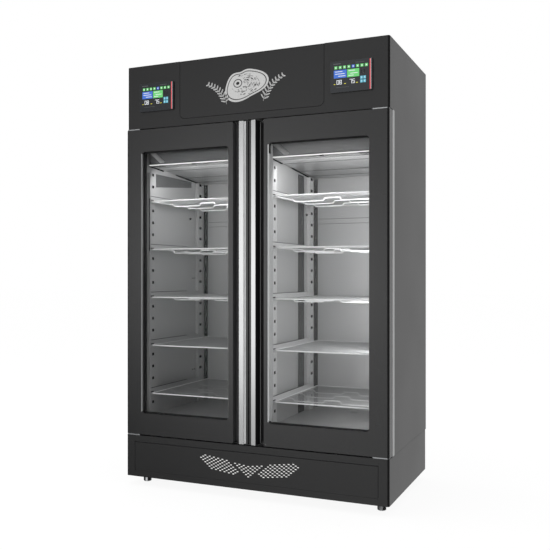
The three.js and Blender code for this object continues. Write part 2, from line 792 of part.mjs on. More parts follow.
// Machine base: side skins with corner posts, deck, tray, service panel and feet.
function machineBase() {
  const baseBack = bodyDepth - baseBackInset;
  const postInside = halfWidth - postWidth;
  const arcX = halfWidth - cornerRadius;
  const arcY = doorFront + cornerRadius;
  const side = new THREE.Shape();
  side.moveTo(postInside, doorFront + postReturn);
  side.lineTo(postInside, doorFront);
  side.absarc(arcX, arcY, cornerRadius, -Math.PI / 2, 0, false);
  side.lineTo(halfWidth, baseBack);
  side.lineTo(halfWidth - sheet, baseBack);
  side.absarc(arcX, arcY, cornerRadius - sheet, 0, -Math.PI / 2, true);
  side.lineTo(postInside + sheet, doorFront + sheet);
  side.lineTo(postInside + sheet, doorFront + postReturn);
  pair('base_side', prismUp(side, baseBottom, baseTop - sheet - seat), paint);

  const railEnd = postInside - seat;
  const deck = new THREE.Shape();
  deck.absarc(arcX, arcY, cornerRadius, -Math.PI / 2, 0, false);
  deck.lineTo(halfWidth, baseBack);
  deck.lineTo(-halfWidth, baseBack);
  deck.absarc(-arcX, arcY, cornerRadius, Math.PI, Math.PI * 1.5, false);
  single('base_deck', join(
    prismUp(deck, baseTop - sheet, baseTop),
    block([-railEnd, doorFront, baseTop - deckRailHeight], [railEnd, doorFront + sheet, baseTop]),
  ), paint);

  const trayEnd = halfWidth - sheet - seat;
  const behindPost = doorFront + postReturn + seat;
  const floor = outline([
    [-railEnd, doorFront], [railEnd, doorFront], [railEnd, behindPost], [trayEnd, behindPost],
    [trayEnd, baseBack], [-trayEnd, baseBack], [-trayEnd, behindPost], [-railEnd, behindPost],
  ]);
  const railTop = baseBottom + trayRailHeight;
  const hingeZ = railTop - panelHingeRadius;
  const hingeY = doorFront + panelHingeRadius;
  const panelEnd = postInside - panelGap;
  single('base_tray', join(
    prismUp(floor, baseBottom, baseBottom + sheet),
    block([-railEnd, doorFront, baseBottom], [railEnd, doorFront + sheet, hingeZ]),
    bar('x', panelHingeRadius, panelEnd * 2, [0, hingeY, hingeZ]),
    block([-trayEnd, baseBack - sheet, baseBottom], [trayEnd, baseBack, baseBottom + trayRearLip]),
  ), paint);

  const panelBottom = railTop + seat;
  const panelTop = baseTop - deckRailHeight - panelTopGap;
  const pan = cut(
    block([-panelEnd, doorFront, panelBottom], [panelEnd, doorFront + panelLip, panelTop]),
    block(
      [-panelEnd + sheet, doorFront + sheet, panelBottom + sheet],
      [panelEnd - sheet, doorFront + panelLip + overrun, panelTop - sheet],
    ),
  );
  single('service_panel', cut(pan, ...ventSlots(baseTop - ventTopDrop)), paint);

  const footX = halfWidth - footInsetAside;
  const profile = [
    [0, 0], [footRadius - footChamfer, 0], [footRadius, footChamfer],
    [footRadius, footHeight - footChamfer], [footRadius - footChamfer, footHeight - seat],
    [0, footHeight - seat],
  ].map(([r, z]) => new THREE.Vector2(r, z));
  const foot = new THREE.LatheGeometry(profile, pinSegments).rotateX(Math.PI / 2);
  const footBody = solid(foot);
  for (const [place, y] of [['front', footInsetFront], ['rear', baseBack - footInsetFront]]) {
    pair(`foot_${place}`, footBody.translate([footX, y, 0]), brushed);
  }
}

// Staggered vent slots: two slanting wings and a triangle between them.
function ventSlots(topZ) {
  const places = [];
  const half = ventPitch / 2;
  const down = -ventDropPitch - ventTilt;
  const up = ventDropPitch - ventTilt;
  for (let a = 0; a < ventWingRowCount; a += 1) {
    for (let b = 0; b < ventWingColumnCount; b += 1) {
      if (b - a <= ventHighCutCount && a - b <= ventLowCutCount) {
        const x = ventWingOffset - (a + b) * half;
        const z = topZ - ventWingDrop + a * down + b * up;
        places.push([x, z], [-x, z]);
      }
    }
  }
  for (let row = 0; row < ventTriangleRowCount; row += 1) {
    const count = ventTriangleRowCount - row;
    for (let k = 0; k < count; k += 1) {
      const x = (k - (count - 1) / 2) * ventPitch;
      const fromEdge = half * (ventTriangleRowCount - 1) - Math.abs(x);
      const z = topZ - ventTriangleDrop - row * ventDropPitch - (fromEdge / half) * ventTilt;
      places.push([x, z]);
    }
  }
  return places.map(([x, z]) => block(
    [x - ventSlotWidth / 2, doorFront - overrun, z - ventSlotHeight / 2],
    [x + ventSlotWidth / 2, doorFront + sheet + overrun, z + ventSlotHeight / 2],
  ));
}

// Condensing unit on the tray: compressor, condenser and its fan.
function condensingUnit() {
  const floor = baseBottom + sheet + seat;
  const y0 = condenserSetback;
  const y1 = y0 + condenserDepth;
  const half = bodyWidth * condenserWidthShare / 2;
  const fanZ = floor + condenserHeight / 2;
  const holeRadius = machineFanRadius + fanTipClearance;
  const shroud = cut(
    block([-half, y1 - weld, floor], [half, y1 + shroudDepth, floor + condenserHeight]),
    block(
      [-half + sheet, y1, floor + sheet],
      [half - sheet, y1 + shroudDepth - sheet, floor + condenserHeight + overrun],
    ),
    bar('y', holeRadius, sheet * 4, [0, y1 + shroudDepth, fanZ], roundSegments),
  );
  const rotorY = y1 + shroudDepth;
  const motor = motorBody(
    machineFanDepth, machineHubRadius * motorRadiusShare, holeRadius + overrun,
    fanZ - machineHubRadius / 2, fanZ + machineHubRadius / 2, [0, rotorY, fanZ],
  );
  const armBack = rotorY + machineFanDepth / 2 + fanTipClearance + motorBarWidth;
  const arms = [-1, 1].map((side) => {
    const inner = side * holeRadius;
    const outer = side * (holeRadius + overrun);
    return block(
      [Math.min(inner, outer), y1 + shroudDepth - weld, fanZ - machineHubRadius / 2],
      [Math.max(inner, outer), armBack, fanZ + machineHubRadius / 2],
    );
  });
  const coil = block([-half, y0, floor], [half, y1, floor + condenserHeight]);
  single('condenser', join(coil, shroud, motor, ...arms), zinc);
  single('condenser_fan', rotorBody(
    machineFanRadius, machineHubRadius, machineFanDepth, [0, rotorY, fanZ],
  ), plastic);

  const top = compressorPlateThickness + compressorHeight;
  const profile = [
    [0, 0], [compressorRadius, 0], [compressorRadius, top - compressorShoulder],
    [compressorRadius - compressorShoulder, top], [0, top],
  ].map(([r, z]) => new THREE.Vector2(r, z));
  const shell = new THREE.LatheGeometry(profile, roundSegments).rotateX(Math.PI / 2);
  const plate = block(
    [-compressorPlateWidth / 2, -compressorPlateDepth / 2, 0],
    [compressorPlateWidth / 2, compressorPlateDepth / 2, compressorPlateThickness],
  );
  const compressor = join(solid(shell), plate);
  const aside = halfWidth * compressorAsideShare;
  single('compressor', compressor.translate([-aside, compressorSetback, floor]), blackSteel);
}

insulatedWalls();
casing();
header();
doors();
const evaporatorBottom = evaporators();
shelving(evaporatorBottom - overrun);
machineBase();
condensingUnit();

export default group;
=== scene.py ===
# %% [markdown]
# # A dry aging cabinet with two glazed doors
#
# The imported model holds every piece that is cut, folded or hinged. This lesson gives each sheet,
# bar and pane its finish, and makes the fine pieces that the solids only hint at, such as the
# shelf wires, the panes of glass, the screens and the lamps.

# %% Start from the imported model
import math
import random

import bmesh
import bpy
from mathutils import Matrix, Vector


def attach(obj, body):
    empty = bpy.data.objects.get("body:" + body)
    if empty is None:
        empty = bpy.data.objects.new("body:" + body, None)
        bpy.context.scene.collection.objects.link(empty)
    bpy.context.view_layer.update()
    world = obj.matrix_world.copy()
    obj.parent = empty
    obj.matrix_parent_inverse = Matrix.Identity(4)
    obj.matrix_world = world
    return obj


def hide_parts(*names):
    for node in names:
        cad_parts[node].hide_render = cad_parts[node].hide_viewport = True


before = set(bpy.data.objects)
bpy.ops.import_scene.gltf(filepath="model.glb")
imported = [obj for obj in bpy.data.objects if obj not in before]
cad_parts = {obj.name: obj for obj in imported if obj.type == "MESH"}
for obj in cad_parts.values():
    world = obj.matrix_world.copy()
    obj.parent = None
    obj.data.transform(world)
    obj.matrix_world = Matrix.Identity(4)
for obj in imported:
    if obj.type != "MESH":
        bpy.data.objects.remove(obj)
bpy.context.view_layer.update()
SIDES = {"left": -1, "right": 1}

# %% [markdown]
# The cabinet was drawn in millimetres, from its middle, from the front face of the header and
# from the floor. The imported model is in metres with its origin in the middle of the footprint.
# One small function turns the first kind of place into the second, so that the numbers below
# read like a workshop drawing.

# %% From drawing to metres
MM = 0.001
HEADER_FRONT = 349.5


def at(x, y, z):
    return Vector((x, y - HEADER_FRONT, z)) * MM


HALF_WIDTH = 671
DOOR_FRONT = -9.2
FLOOR_TOP, CEILING = 335, 1677
WALL_X, BAY_END = 78, 593
BAY_MIDDLE = HALF_WIDTH / 2
PIECE_MARGIN = 0.3

# %% [markdown]
# The photograph was taken from the right with the camera level, at half the cabinet's height.
# Its place was worked out from the slopes of the header, door and base edges.

# %% Camera
LENS, SENSOR_WIDTH = 50, 36
CAMERA_PLACE, CAMERA_TURN = (1529.5, -3216.8, 1044.2), 23.479
camera = bpy.data.objects.new("camera", bpy.data.cameras.new("camera"))
bpy.context.collection.objects.link(camera)
camera.data.lens = LENS
camera.data.sensor_width = SENSOR_WIDTH
camera.location = at(*CAMERA_PLACE)
camera.rotation_euler = (math.radians(90), 0, math.radians(CAMERA_TURN))
bpy.context.scene.camera = camera
print("camera", tuple(round(v, 3) for v in camera.location))

# %% [markdown]
# A material's nodes are easier to read as sums. `Flow` wraps the output of a node and lets
# Python's own signs add Math nodes to it. `Finish` makes a material, and its `node` method makes
# any other node from its type, its settings and the values or links of its sockets.


# %% Sums on sockets
class Flow:
    def __init__(self, tree, socket):
        self.tree, self.socket = tree, socket

    def _with(self, operation, first, second):
        return self.tree.node("ShaderNodeMath", {"operation": operation}, {0: first, 1: second})

    def __add__(self, other):
        return self._with("ADD", self, other)

    def __sub__(self, other):
        return self._with("SUBTRACT", self, other)

    def __rsub__(self, other):
        return self._with("SUBTRACT", other, self)

    def __mul__(self, other):
        return self._with("MULTIPLY", self, other)

    __radd__ = __add__
    __rmul__ = __mul__


class NodeTree:
    def __init__(self, tree):
        self.tree = tree
        tree.nodes.clear()

    def node(self, kind, settings=None, inputs=None, out=0):
        made = self.tree.nodes.new(kind)
        for name, value in (settings or {}).items():
            setattr(made, name, value)
        for key, value in (inputs or {}).items():
            self.feed(made.inputs[key], value)
        return Flow(self, made.outputs[out]) if len(made.outputs) else made

    def feed(self, socket, value):
        if isinstance(value, Flow):
            self.tree.links.new(value.socket, socket)
        else:
            socket.default_value = value


class Finish(NodeTree):
    def __init__(self, name, slot, colour, roughness, metallic=0.0):
        self.material = bpy.data.materials.new(name)
        self.material.use_nodes = True
        self.slot = slot
        super().__init__(self.material.node_tree)
        self.shader = self.tree.nodes.new("ShaderNodeBsdfPrincipled")
        self.exit = self.tree.nodes.new("ShaderNodeOutputMaterial")
        self.tree.links.new(self.shader.outputs[0], self.exit.inputs[0])
        self.set("Base Color", (*colour, 1))
        self.set("Roughness", roughness)
        self.set("Metallic", metallic)
        self.material.diffuse_color = (*colour, 1)

    def set(self, name, value):
        self.feed(self.shader.inputs[name], value)

    def place(self, scale=(1, 1, 1)):
        spot = self.node("ShaderNodeTexCoord", out="Object")
        return self.node("ShaderNodeMapping", {}, {"Vector": spot, "Scale": scale})

    def noise(self, scale, stretch=(1, 1, 1), detail=2.0, rough=0.5):
        settings = {"Vector": self.place(stretch), "Scale": scale, "Detail": detail, "Roughness": rough}
        return self.node("ShaderNodeTexNoise", {}, settings)

    def tinted(self, mask, low, high):
        mix = {"data_type": "RGBA"}
        return self.node("ShaderNodeMix", mix, {0: mask, 6: (*low, 1), 7: (*high, 1)}, out=2)

    def bump(self, height, strength, distance):
        sockets = {"Height": height, "Strength": strength, "Distance": distance}
        self.set("Normal", self.node("ShaderNodeBump", {}, sockets))


# %% [markdown]
# The studio is white all round, as in the photograph. A dark satin paint has almost no colour of
# its own, so what is seen on it is mostly this white, reflected: weakly on the front, which is
# seen square on, and more on the side, which is seen at a slant. White cards stand before the
# doors and behind the cabinet, and dark flags beside it draw a black line down each rounded
# corner. Each has an azimuth, two angles between which it fades, and a height if not level.

# %% World
world = bpy.data.worlds.new("studio")
bpy.context.scene.world = world
world.use_nodes = True
room = NodeTree(world.node_tree)
direction = room.node("ShaderNodeTexCoord", out="Generated")


def toward(azimuth, inner, outer, height=0):
    """1 within the inner angle of a direction, 0 beyond the outer one."""
    angle, rise = math.radians(azimuth), math.radians(height)
    aim = (math.sin(angle) * math.cos(rise), -math.cos(angle) * math.cos(rise), math.sin(rise))
    nearness = room.node(
        "ShaderNodeVectorMath", {"operation": "DOT_PRODUCT"}, {0: direction, 1: aim}, out="Value"
    )
    limits = {"From Min": math.cos(math.radians(outer)), "From Max": math.cos(math.radians(inner))}
    return room.node(
        "ShaderNodeMapRange", {"interpolation_type": "SMOOTHSTEP"}, {"Value": nearness, **limits}
    )


FRONT_CARD, FRONT_LIGHT = (10, 33, 50), 0.5
NARROW_CARD, NARROW_LIGHT = (-25.4, 7, 10.5), 1.9
BACK_CARD, BACK_LIGHT = (172, 30, 80), 0.23
RIGHT_FLAG, LEFT_FLAG, FLAG_DEPTH = (78, 66, 74), (-100, 48, 60), 0.98
LOW_FLAG, LOW_FLAG_DEPTH = (-50, 10, 30, -20), 0.8
ROOM_LIGHT, WORLD_LIGHT = 0.46, 0.9
rays = room.tree.nodes.new("ShaderNodeLightPath")
seen = Flow(room, rays.outputs["Is Camera Ray"])
mirrored = Flow(room, rays.outputs["Is Glossy Ray"])
white_cards = toward(*FRONT_CARD) * FRONT_LIGHT + toward(*NARROW_CARD) * NARROW_LIGHT
white_cards = white_cards + toward(*BACK_CARD) * BACK_LIGHT
dark_flags = (1 - toward(*RIGHT_FLAG) * FLAG_DEPTH) * (1 - toward(*LEFT_FLAG) * FLAG_DEPTH)
mirror_image = (white_cards + ROOM_LIGHT) * dark_flags * (1 - toward(*LOW_FLAG) * LOW_FLAG_DEPTH)
brightness = seen + (1 - seen) * (mirrored * mirror_image + (1 - mirrored) * WORLD_LIGHT)
backdrop = room.node("ShaderNodeBackground", {}, {"Color": (1, 1, 1, 1), "Strength": brightness})
room.node("ShaderNodeOutputWorld", {}, {"Surface": backdrop})
bpy.context.scene.view_settings.view_transform = "Standard"
print("world ready")

# %% [markdown]
# One large soft lamp hangs high above. It lights the floor, so that the cabinet keeps a shadow
# under it, and it is too high to show in the paint.

# %% Lamp of the studio
TOP_PLACE, TOP_WIDTH, TOP_POWER = Vector((-0.6, -0.4, 4.6)), 2.4, 60
lamp = bpy.data.lights.new("top_lamp", "AREA")
lamp.shape = "DISK"
lamp.size = TOP_WIDTH
lamp.energy = TOP_POWER
stand = bpy.data.objects.new("top_lamp", lamp)
stand.location = TOP_PLACE
stand.rotation_euler = (-TOP_PLACE).to_track_quat("-Z", "Y").to_euler()
bpy.context.collection.objects.link(stand)

# %% [markdown]
# The floor is a plain pale sheet. Part of its brightness is its own, so that it meets the white
# backdrop without a line and still keeps a soft shadow under the cabinet. Paint and steel do not
# mirror it, but the lower half of the studio.

# %% Floor
FLOOR_REACH, FLOOR_GREY, FLOOR_GLOW, FLOOR_OWN_LIGHT = 40, (0.93, 0.93, 0.93), 1.02, 0.9
floor_mesh = bmesh.new()
bmesh.ops.create_grid(floor_mesh, x_segments=1, y_segments=1, size=FLOOR_REACH)
floor_data = bpy.data.meshes.new("studio_floor")
floor_mesh.to_mesh(floor_data)
floor_mesh.free()
floor = bpy.data.objects.new("studio_floor", floor_data)
bpy.context.collection.objects.link(floor)
floor_finish = Finish("pale_floor", None, FLOOR_GREY, 0.9)
glow = {"Color": (1, 1, 1, 1), "Strength": FLOOR_GLOW}
own_light = floor_finish.node("ShaderNodeEmission", {}, glow)
floor_rays = floor_finish.tree.nodes.new("ShaderNodeLightPath")
looked_at = Flow(floor_finish, floor_rays.outputs["Is Camera Ray"])
plain = Flow(floor_finish, floor_finish.shader.outputs[0])
lit = floor_finish.node(
    "ShaderNodeMixShader", {}, {0: looked_at * FLOOR_OWN_LIGHT, 1: plain, 2: own_light},
)
floor_finish.feed(floor_finish.exit.inputs[0], lit)
floor_data.materials.append(floor_finish.material)
floor.visible_glossy = False

# %% [markdown]
# ## Finishes
#
# The skin is sheet steel with a dark grey powder coat. It is smooth from afar and very slightly
# pebbled close up, so its bump is fine and weak, and its gloss changes a little where it has
# been wiped. The doors are a little glossier than the body.

# %% Powder coat
GLOSS_SPREAD, TONE_SPREAD, BLUE_SHARE = 0.06, 0.1, 0.03


def paint_tone(grey, share):
    return grey * share, grey * share, grey * (share + BLUE_SHARE)


def powder_coat(name, grey, gloss, roughness):
    coat = Finish(name, "dark_paint", paint_tone(grey, 1), roughness)
    coat.set("Specular IOR Level", gloss)
    wiped = coat.noise(3.0, detail=3.0)
    coat.set("Roughness", wiped * GLOSS_SPREAD + (roughness - GLOSS_SPREAD / 2))
    tones = paint_tone(grey, 1 - TONE_SPREAD), paint_tone(grey, 1 + TONE_SPREAD)
    coat.set("Base Color", coat.tinted(wiped, *tones))
    coat.bump(coat.noise(900.0, detail=1.0), 0.12, 0.0004)
    return coat


paint = powder_coat("body_powder_coat", 0.011, 0.4, 0.31)
door_paint = powder_coat("door_powder_coat", 0.0125, 0.46, 0.22)

# %% [markdown]
# Stainless steel leaves the rolling mill with fine lines in one direction, which show as streaks
# in the gloss. One function stretches a noise along the lines. A satin sheet scatters part of
# the light like a matt one, which a lower metallic value stands for.


# %% Brushed metals
CLOUD_SPREAD, DULL_SHARE, STEEL_TINT = 0.08, 0.86, 0.003
EVEN, ALONG_X, ALONG_Z, ROUND_Z = (1, 1, 1), (0.04, 1, 1), (1, 1, 0.04), (1, 1, 8)


def brushed(
    name, slot, grey, roughness, metallic, stretch=ALONG_Z, spread=0.12, scale=60.0, tint=STEEL_TINT,
):
    colour = grey, grey + tint, grey + 2 * tint
    metal = Finish(name, slot, colour, roughness, metallic)
    lines = metal.noise(scale, stretch, detail=3.0, rough=0.65)
    clouds = metal.noise(2.5, detail=2.0)
    base = roughness - spread / 2 - CLOUD_SPREAD / 2
    metal.set("Roughness", lines * spread + clouds * CLOUD_SPREAD + base)
    metal.set("Base Color", metal.tinted(lines, tuple(c * DULL_SHARE for c in colour), colour))
    metal.bump(lines, 0.05, 0.0003)
    return metal


liner = brushed("stainless_liner", "stainless", 0.56, 0.42, 0.5, spread=0.06)
liner_across = brushed("stainless_across", "stainless", 0.56, 0.42, 0.5, ALONG_X, 0.06)
upright_steel = brushed("stainless_upright", "stainless", 0.74, 0.4, 0.45)
tray_steel = brushed("tray_steel", "stainless", 0.60, 0.3, 0.6, ALONG_X, 0.06)
# A dark steel that paints shade beside and before the left tray.
tray_shade = brushed("tray_shade", "stainless", 0.15, 0.45, 0.5, spread=0.06)
# The satin and dull trims are pale mostly to paint light: the lamp-lit reveal on the handle side and
# highlights on window edges and in the handle grooves. The satin one also makes the drain's steel ring.
satin_and_painted_light = brushed("satin_and_painted_light", "bright_steel", 0.58, 0.42, 0.35)
dull_painted_light = brushed("dull_painted_light", "bright_steel", 0.25, 0.5, 0.2)
handle_steel = brushed("brushed_handle", "bright_steel", 0.46, 0.19, 0.65, scale=120.0)
# The bright side of each handle is a matt near-white sheet: a painted reflection.
handle_side_sheen = brushed("handle_side_sheen", "bright_steel", 0.86, 0.5, 0.1)
foot_steel = brushed("turned_steel", "bright_steel", 0.6, 0.3, 1.0, ROUND_Z, scale=90.0, tint=0.01)
# The rim and bent wires of a shelf are near white and its thin wires mid grey, though all are one
# chrome: the difference is painted highlight.
bright_wire = brushed("wire_painted_highlight", "shelf_wire", 0.97, 0.34, 0.15, EVEN, 0.04, tint=0.005)
net_wire = brushed("wire_painted_dim", "shelf_wire", 0.46, 0.36, 0.5, EVEN, 0.04, tint=0.005)
zinc = brushed("zinc_plate", "zinc", 0.42, 0.36, 1.0, EVEN, 0.2, 25.0, tint=0.01)

# %% [markdown]
# The remaining finishes are small: black rubber with a dull bloom, stove enamel on the compressor,
# moulded plastics with a fine grain, black and grey finishes that also paint shade, a pale filter
# mat whose glow is painted light, a lighter grey of painted light for a handle groove, and the ink
# of the picture.


# %% Rubber, enamel, plastic, mat, ink
def grained(name, slot, colour, roughness, grain, strength, depth, detail=2.0):
    finish = Finish(name, slot, colour, roughness)
    finish.bump(finish.noise(grain, detail=detail), strength, depth)
    return finish


rubber = grained("gasket_rubber", "black_rubber", (0.018, 0.018, 0.019), 0.75, 400, 0.2, 0.0003)
enamel = grained("black_enamel", "black_enamel", (0.012, 0.012, 0.013), 0.3, 60, 0.1, 0.0005)
moulded = grained("moulded_plastic", "black_plastic", (0.03, 0.03, 0.032), 0.5, 1200, 0.25, 0.0002)
screen_body = grained(
    "screen_housing", "display_plastic", (0.016, 0.017, 0.019), 0.35, 1500, 0.1, 0.0002
)
# The black finish below is black plastic, and it also paints shade in slots, holes, gaps, folds and
# corners. The grey one paints the lighter shade of the right bay's corners and a dark reflection on the
# partition.
black_and_shade = grained("black_and_shade", "black_plastic", (0.012, 0.012, 0.013), 0.8, 700, 0.15, 0.0002)
black_and_shade.set("Specular IOR Level", 0.03)
grey_shade = grained("grey_shade", "black_plastic", (0.06, 0.06, 0.061), 0.7, 700, 0.15, 0.0002)
# The filter mat also glows a little: painted light, as it is no lamp.
MAT_COLOUR, MAT_PAINTED_GLOW = (0.86, 0.86, 0.85), 0.3
filter_mat = grained("filter_mat", "black_plastic", MAT_COLOUR, 0.95, 500, 0.6, 0.001, detail=4.0)
filter_mat.set("Emission Color", (*MAT_COLOUR, 1))
filter_mat.set("Emission Strength", MAT_PAINTED_GLOW)
# The groove covers are a lighter grey than the door paint: painted light in the shaded left groove.
groove_painted_light = Finish("groove_painted_light", "dark_paint", (0.075, 0.075, 0.077), 0.45)
ink = Finish("pale_ink", "dark_paint", (0.62, 0.62, 0.61), 0.6)
grain = ink.noise(260.0, detail=3.0)
ink.set("Base Color", ink.tinted(grain, (0.42, 0.42, 0.42), (0.74, 0.74, 0.73)))

# %% [markdown]
# Glass in a picture is mostly what lies behind it, with a faint reflection on top. Each pane is
# a bright mirror that is almost wholly see-through: its alpha is a tenth of the share of light
# that glass reflects, because the photograph shows next to no reflection. It grows where the
# pane is seen at a slant.

# %% Glass
GLASS_INDEX, GLARE_SHARE = 1.45, 0.1
pane_glass = Finish("pane_glass", "glazing", (0.92, 0.96, 0.95), 0.03, metallic=1.0)
slant = pane_glass.node("ShaderNodeFresnel", {}, {"IOR": GLASS_INDEX})
pane_glass.set("Alpha", slant * GLARE_SHARE)

# %% [markdown]
# The covers of the chamber lamps and the picture elements of the screens glow.

# %% Things that glow
SCREEN_COLOURS = {
    "green": ((0.10, 0.42, 0.12), 0.6), "blue": ((0.035, 0.11, 0.42), 0.6),
    "white": ((0.62, 0.64, 0.66), 0.5), "cyan": ((0.10, 0.36, 0.46), 0.6),
    "yellow": ((0.50, 0.45, 0.03), 0.6), "red": ((0.55, 0.02, 0.03), 0.5),
    "grey": ((0.07, 0.075, 0.08), 0.2),
}


def glowing(name, colour, strength):
    lamp = Finish(name, "display_plastic", colour, 0.4)
    lamp.set("Emission Color", (*colour, 1))
    lamp.set("Emission Strength", strength)
    return lamp


lamp_cover = glowing("lamp_cover", (1.0, 0.99, 0.96), 6.0)
strip_cover = glowing("strip_cover", (0.95, 0.95, 0.94), 0.55)
SCREEN = {name: glowing(f"screen_{name}", *look) for name, look in SCREEN_COLOURS.items()}
screen_glass = Finish("screen_glass", "display_plastic", (0.012, 0.014, 0.018), 0.12)

# %% [markdown]
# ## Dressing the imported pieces
#
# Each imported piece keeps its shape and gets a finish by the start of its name.

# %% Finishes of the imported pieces
# The longer of two starts that fit comes first, and what is not listed is zinc plated.
DRESS = {
    "side_panel": paint, "back_panel": paint, "top_panel": paint, "header_": paint, "hatch": paint,
    "door_frame": door_paint, "base_": paint, "service_panel": paint, "wall_": liner,
    "back_wall": liner, "partition": liner, "floor_panel": liner_across,
    # The outer upright on the left wall takes the darker liner steel instead of the uprights' own:
    # painted shade, as that bay is lit less.
    "ceiling_panel": liner_across, "rack_outer_left": liner, "rack_": upright_steel,
    "shelf_": bright_wire, "evaporator_fan": moulded, "evaporator_": tray_steel,
    "door_handle": handle_steel, "foot_": foot_steel, "condenser_fan": moulded,
    "door_gasket": rubber, "door_glass": pane_glass, "compressor": enamel, "display_": screen_body,
}
for name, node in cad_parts.items():
    finish = next((f for start, f in DRESS.items() if name.startswith(start)), zinc)
    node.data.materials.clear()
    node.data.materials.append(finish.material)
print("dressed", len(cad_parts), "packed pieces")

# %% [markdown]
# ## Tools for new pieces
#
# New pieces are grown in a bmesh from its own starting shapes. `keep` turns a finished bmesh
# into an object that rides on a body, `slab` makes a box with softened edges between two
# corners, `rod` a round bar between two points, and `bent_rod` sweeps a ring along a path. The
# two bays and their doors mirror each other, so `side_slab` takes the spans of a box on the right
# and the sign of its side. `inset` shortens a span at both ends, or lengthens it.

# %% Keep, slab, rod, bent rod
SHARP_ANGLE, MERGE_DISTANCE, STEEPEST_MITRE = 35, 1e-7, 0.5


def keep(name, shape, body, finishes, replaces=(), smooth=False):
    bmesh.ops.remove_doubles(shape, verts=shape.verts, dist=MERGE_DISTANCE)
    bmesh.ops.recalc_face_normals(shape, faces=shape.faces)
    mesh = bpy.data.meshes.new(name)
    shape.to_mesh(mesh)
    shape.free()
    finishes = finishes if isinstance(finishes, (list, tuple)) else [finishes]
    for finish in finishes:
        mesh.materials.append(finish.material)
    if smooth:
        mesh.shade_smooth()
        mesh.set_sharp_from_angle(angle=math.radians(SHARP_ANGLE))
    piece = bpy.data.objects.new(name, mesh)
    bpy.context.collection.objects.link(piece)
    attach(piece, body)
    if replaces:
        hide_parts(*replaces)
    return piece


def paint_faces(shape, corners, number):
    for face in {face for corner in corners for face in corner.link_faces}:
        face.material_index = number


def slab(shape, low, high, soften=0.0, number=0):
    centre, size = (low + high) / 2, high - low
    corners = bmesh.ops.create_cube(shape, size=1)["verts"]
    bmesh.ops.scale(shape, verts=corners, vec=[abs(v) for v in size])
    bmesh.ops.translate(shape, verts=corners, vec=centre)
    paint_faces(shape, corners, number)
    if soften:
        edges = {edge for corner in corners for edge in corner.link_edges}
        bmesh.ops.bevel(
            shape, geom=list(edges), offset=soften * MM, segments=2, profile=0.5,
            affect="EDGES", material=-1,
        )
    return corners


def inset(span, margin):
    return span[0] + margin, span[1] - margin


def side_slab(shape, sign, x_span, y_span, z_span, soften=0.0, number=0):
    x0, x1 = sorted(sign * x for x in x_span)
    return slab(shape, at(x0, y_span[0], z_span[0]), at(x1, y_span[1], z_span[1]), soften, number)


def rod(shape, start, end, radius, sides=8, number=0):
    along = end - start
    turn = along.to_track_quat("Z", "Y").to_matrix().to_4x4()
    corners = bmesh.ops.create_cone(
        shape, cap_ends=True, segments=sides, radius1=radius * MM, radius2=radius * MM,
        depth=along.length, matrix=Matrix.Translation((start + end) / 2) @ turn,
    )["verts"]
    paint_faces(shape, corners, number)
    return corners


def path_frames(points, flat, closed):
    frames = []
    for i, point in enumerate(points):
        before = points[i - 1] if i or closed else None
        after = points[(i + 1) % len(points)] if i + 1 < len(points) or closed else None
        arriving = (point - before).normalized() if before is not None else None
        leaving = (after - point).normalized() if after is not None else None
        ahead = ((arriving or leaving) + (leaving or arriving)).normalized()
        across = flat.cross(ahead).normalized()
        lean = abs(ahead.dot(arriving or leaving))
        frames.append(Matrix((
            (*(across / max(lean, STEEPEST_MITRE)), 0), (*flat, 0), (*ahead, 0), (*point, 1),
        )).transposed())
    return frames


def bent_rod(shape, points, radius, flat, sides=8, closed=False, number=0):
    frames = path_frames(points, flat.normalized(), closed)
    ring = bmesh.ops.create_circle(shape, segments=sides, radius=radius * MM)["verts"]
    bmesh.ops.transform(shape, matrix=frames[0], verts=ring)
    first = list({edge for corner in ring for edge in corner.link_edges})
    edges = first
    for here, there in zip(frames, frames[1:]):
        grown = bmesh.ops.extrude_edge_only(shape, edges=edges)["geom"]
        corners = [g for g in grown if isinstance(g, bmesh.types.BMVert)]
        edges = [
            g for g in grown
            if isinstance(g, bmesh.types.BMEdge) and all(v in corners for v in g.verts)
        ]
        bmesh.ops.transform(shape, matrix=there @ here.inverted(), verts=corners)
    if closed:
        bmesh.ops.bridge_loops(shape, edges=first + edges)
    else:
        bmesh.ops.holes_fill(shape, edges=first + edges, sides=sides)


# %% [markdown]
# ## Wire shelves
#
# A shelf is a rim of thick wire with thin wires laid close together from front to back. Three
# wires cross under them, each bent down twice. The imported shelf is a slotted plate that holds
# the same space, so the wires replace it. All wires are one chrome, but the rim and the bent
# wires are near white, a painted highlight, and the thin ones are painted a darker grey.

# %% Shelves
SHELF_X, SHELF_Y = (99, 572), (60.2, 642)
FIRST_LEVEL, LEVEL_PITCH, LEVEL_COUNT = 446.5, 241.2, 5
SHELF_LEVELS = [FIRST_LEVEL + LEVEL_PITCH * i for i in range(LEVEL_COUNT)]
RIM_RADIUS, THIN_RADIUS, WAVE_RADIUS = 3.0, 1.5, 2.7
RIM_CORNER, CORNER_STEPS = 10, 4
THIN_WIRES = 39
WAVE_DROP, WAVE_INSET = 13, 13
WAVE_PLACES = (203.5, 190, 46.5, 36)
WAVE_ROWS = (214, 358, 502)
UP, TO_BACK = Vector((0, 0, 1)), Vector((0, 1, 0))


def rim_points(x0, x1, y0, y1, z):
    points = []
    corners = ((x1, y0, -90), (x1, y1, 0), (x0, y1, 90), (x0, y0, 180))
    for x, y, start in corners:
        middle_x = x - math.copysign(RIM_CORNER, x - (x0 + x1) / 2)
        middle_y = y - math.copysign(RIM_CORNER, y - (y0 + y1) / 2)
        for step in range(CORNER_STEPS + 1):
            angle = math.radians(start + 90 * step / CORNER_STEPS)
            across, back = RIM_CORNER * math.cos(angle), RIM_CORNER * math.sin(angle)
            points.append(at(middle_x + across, middle_y + back, z))
    return points


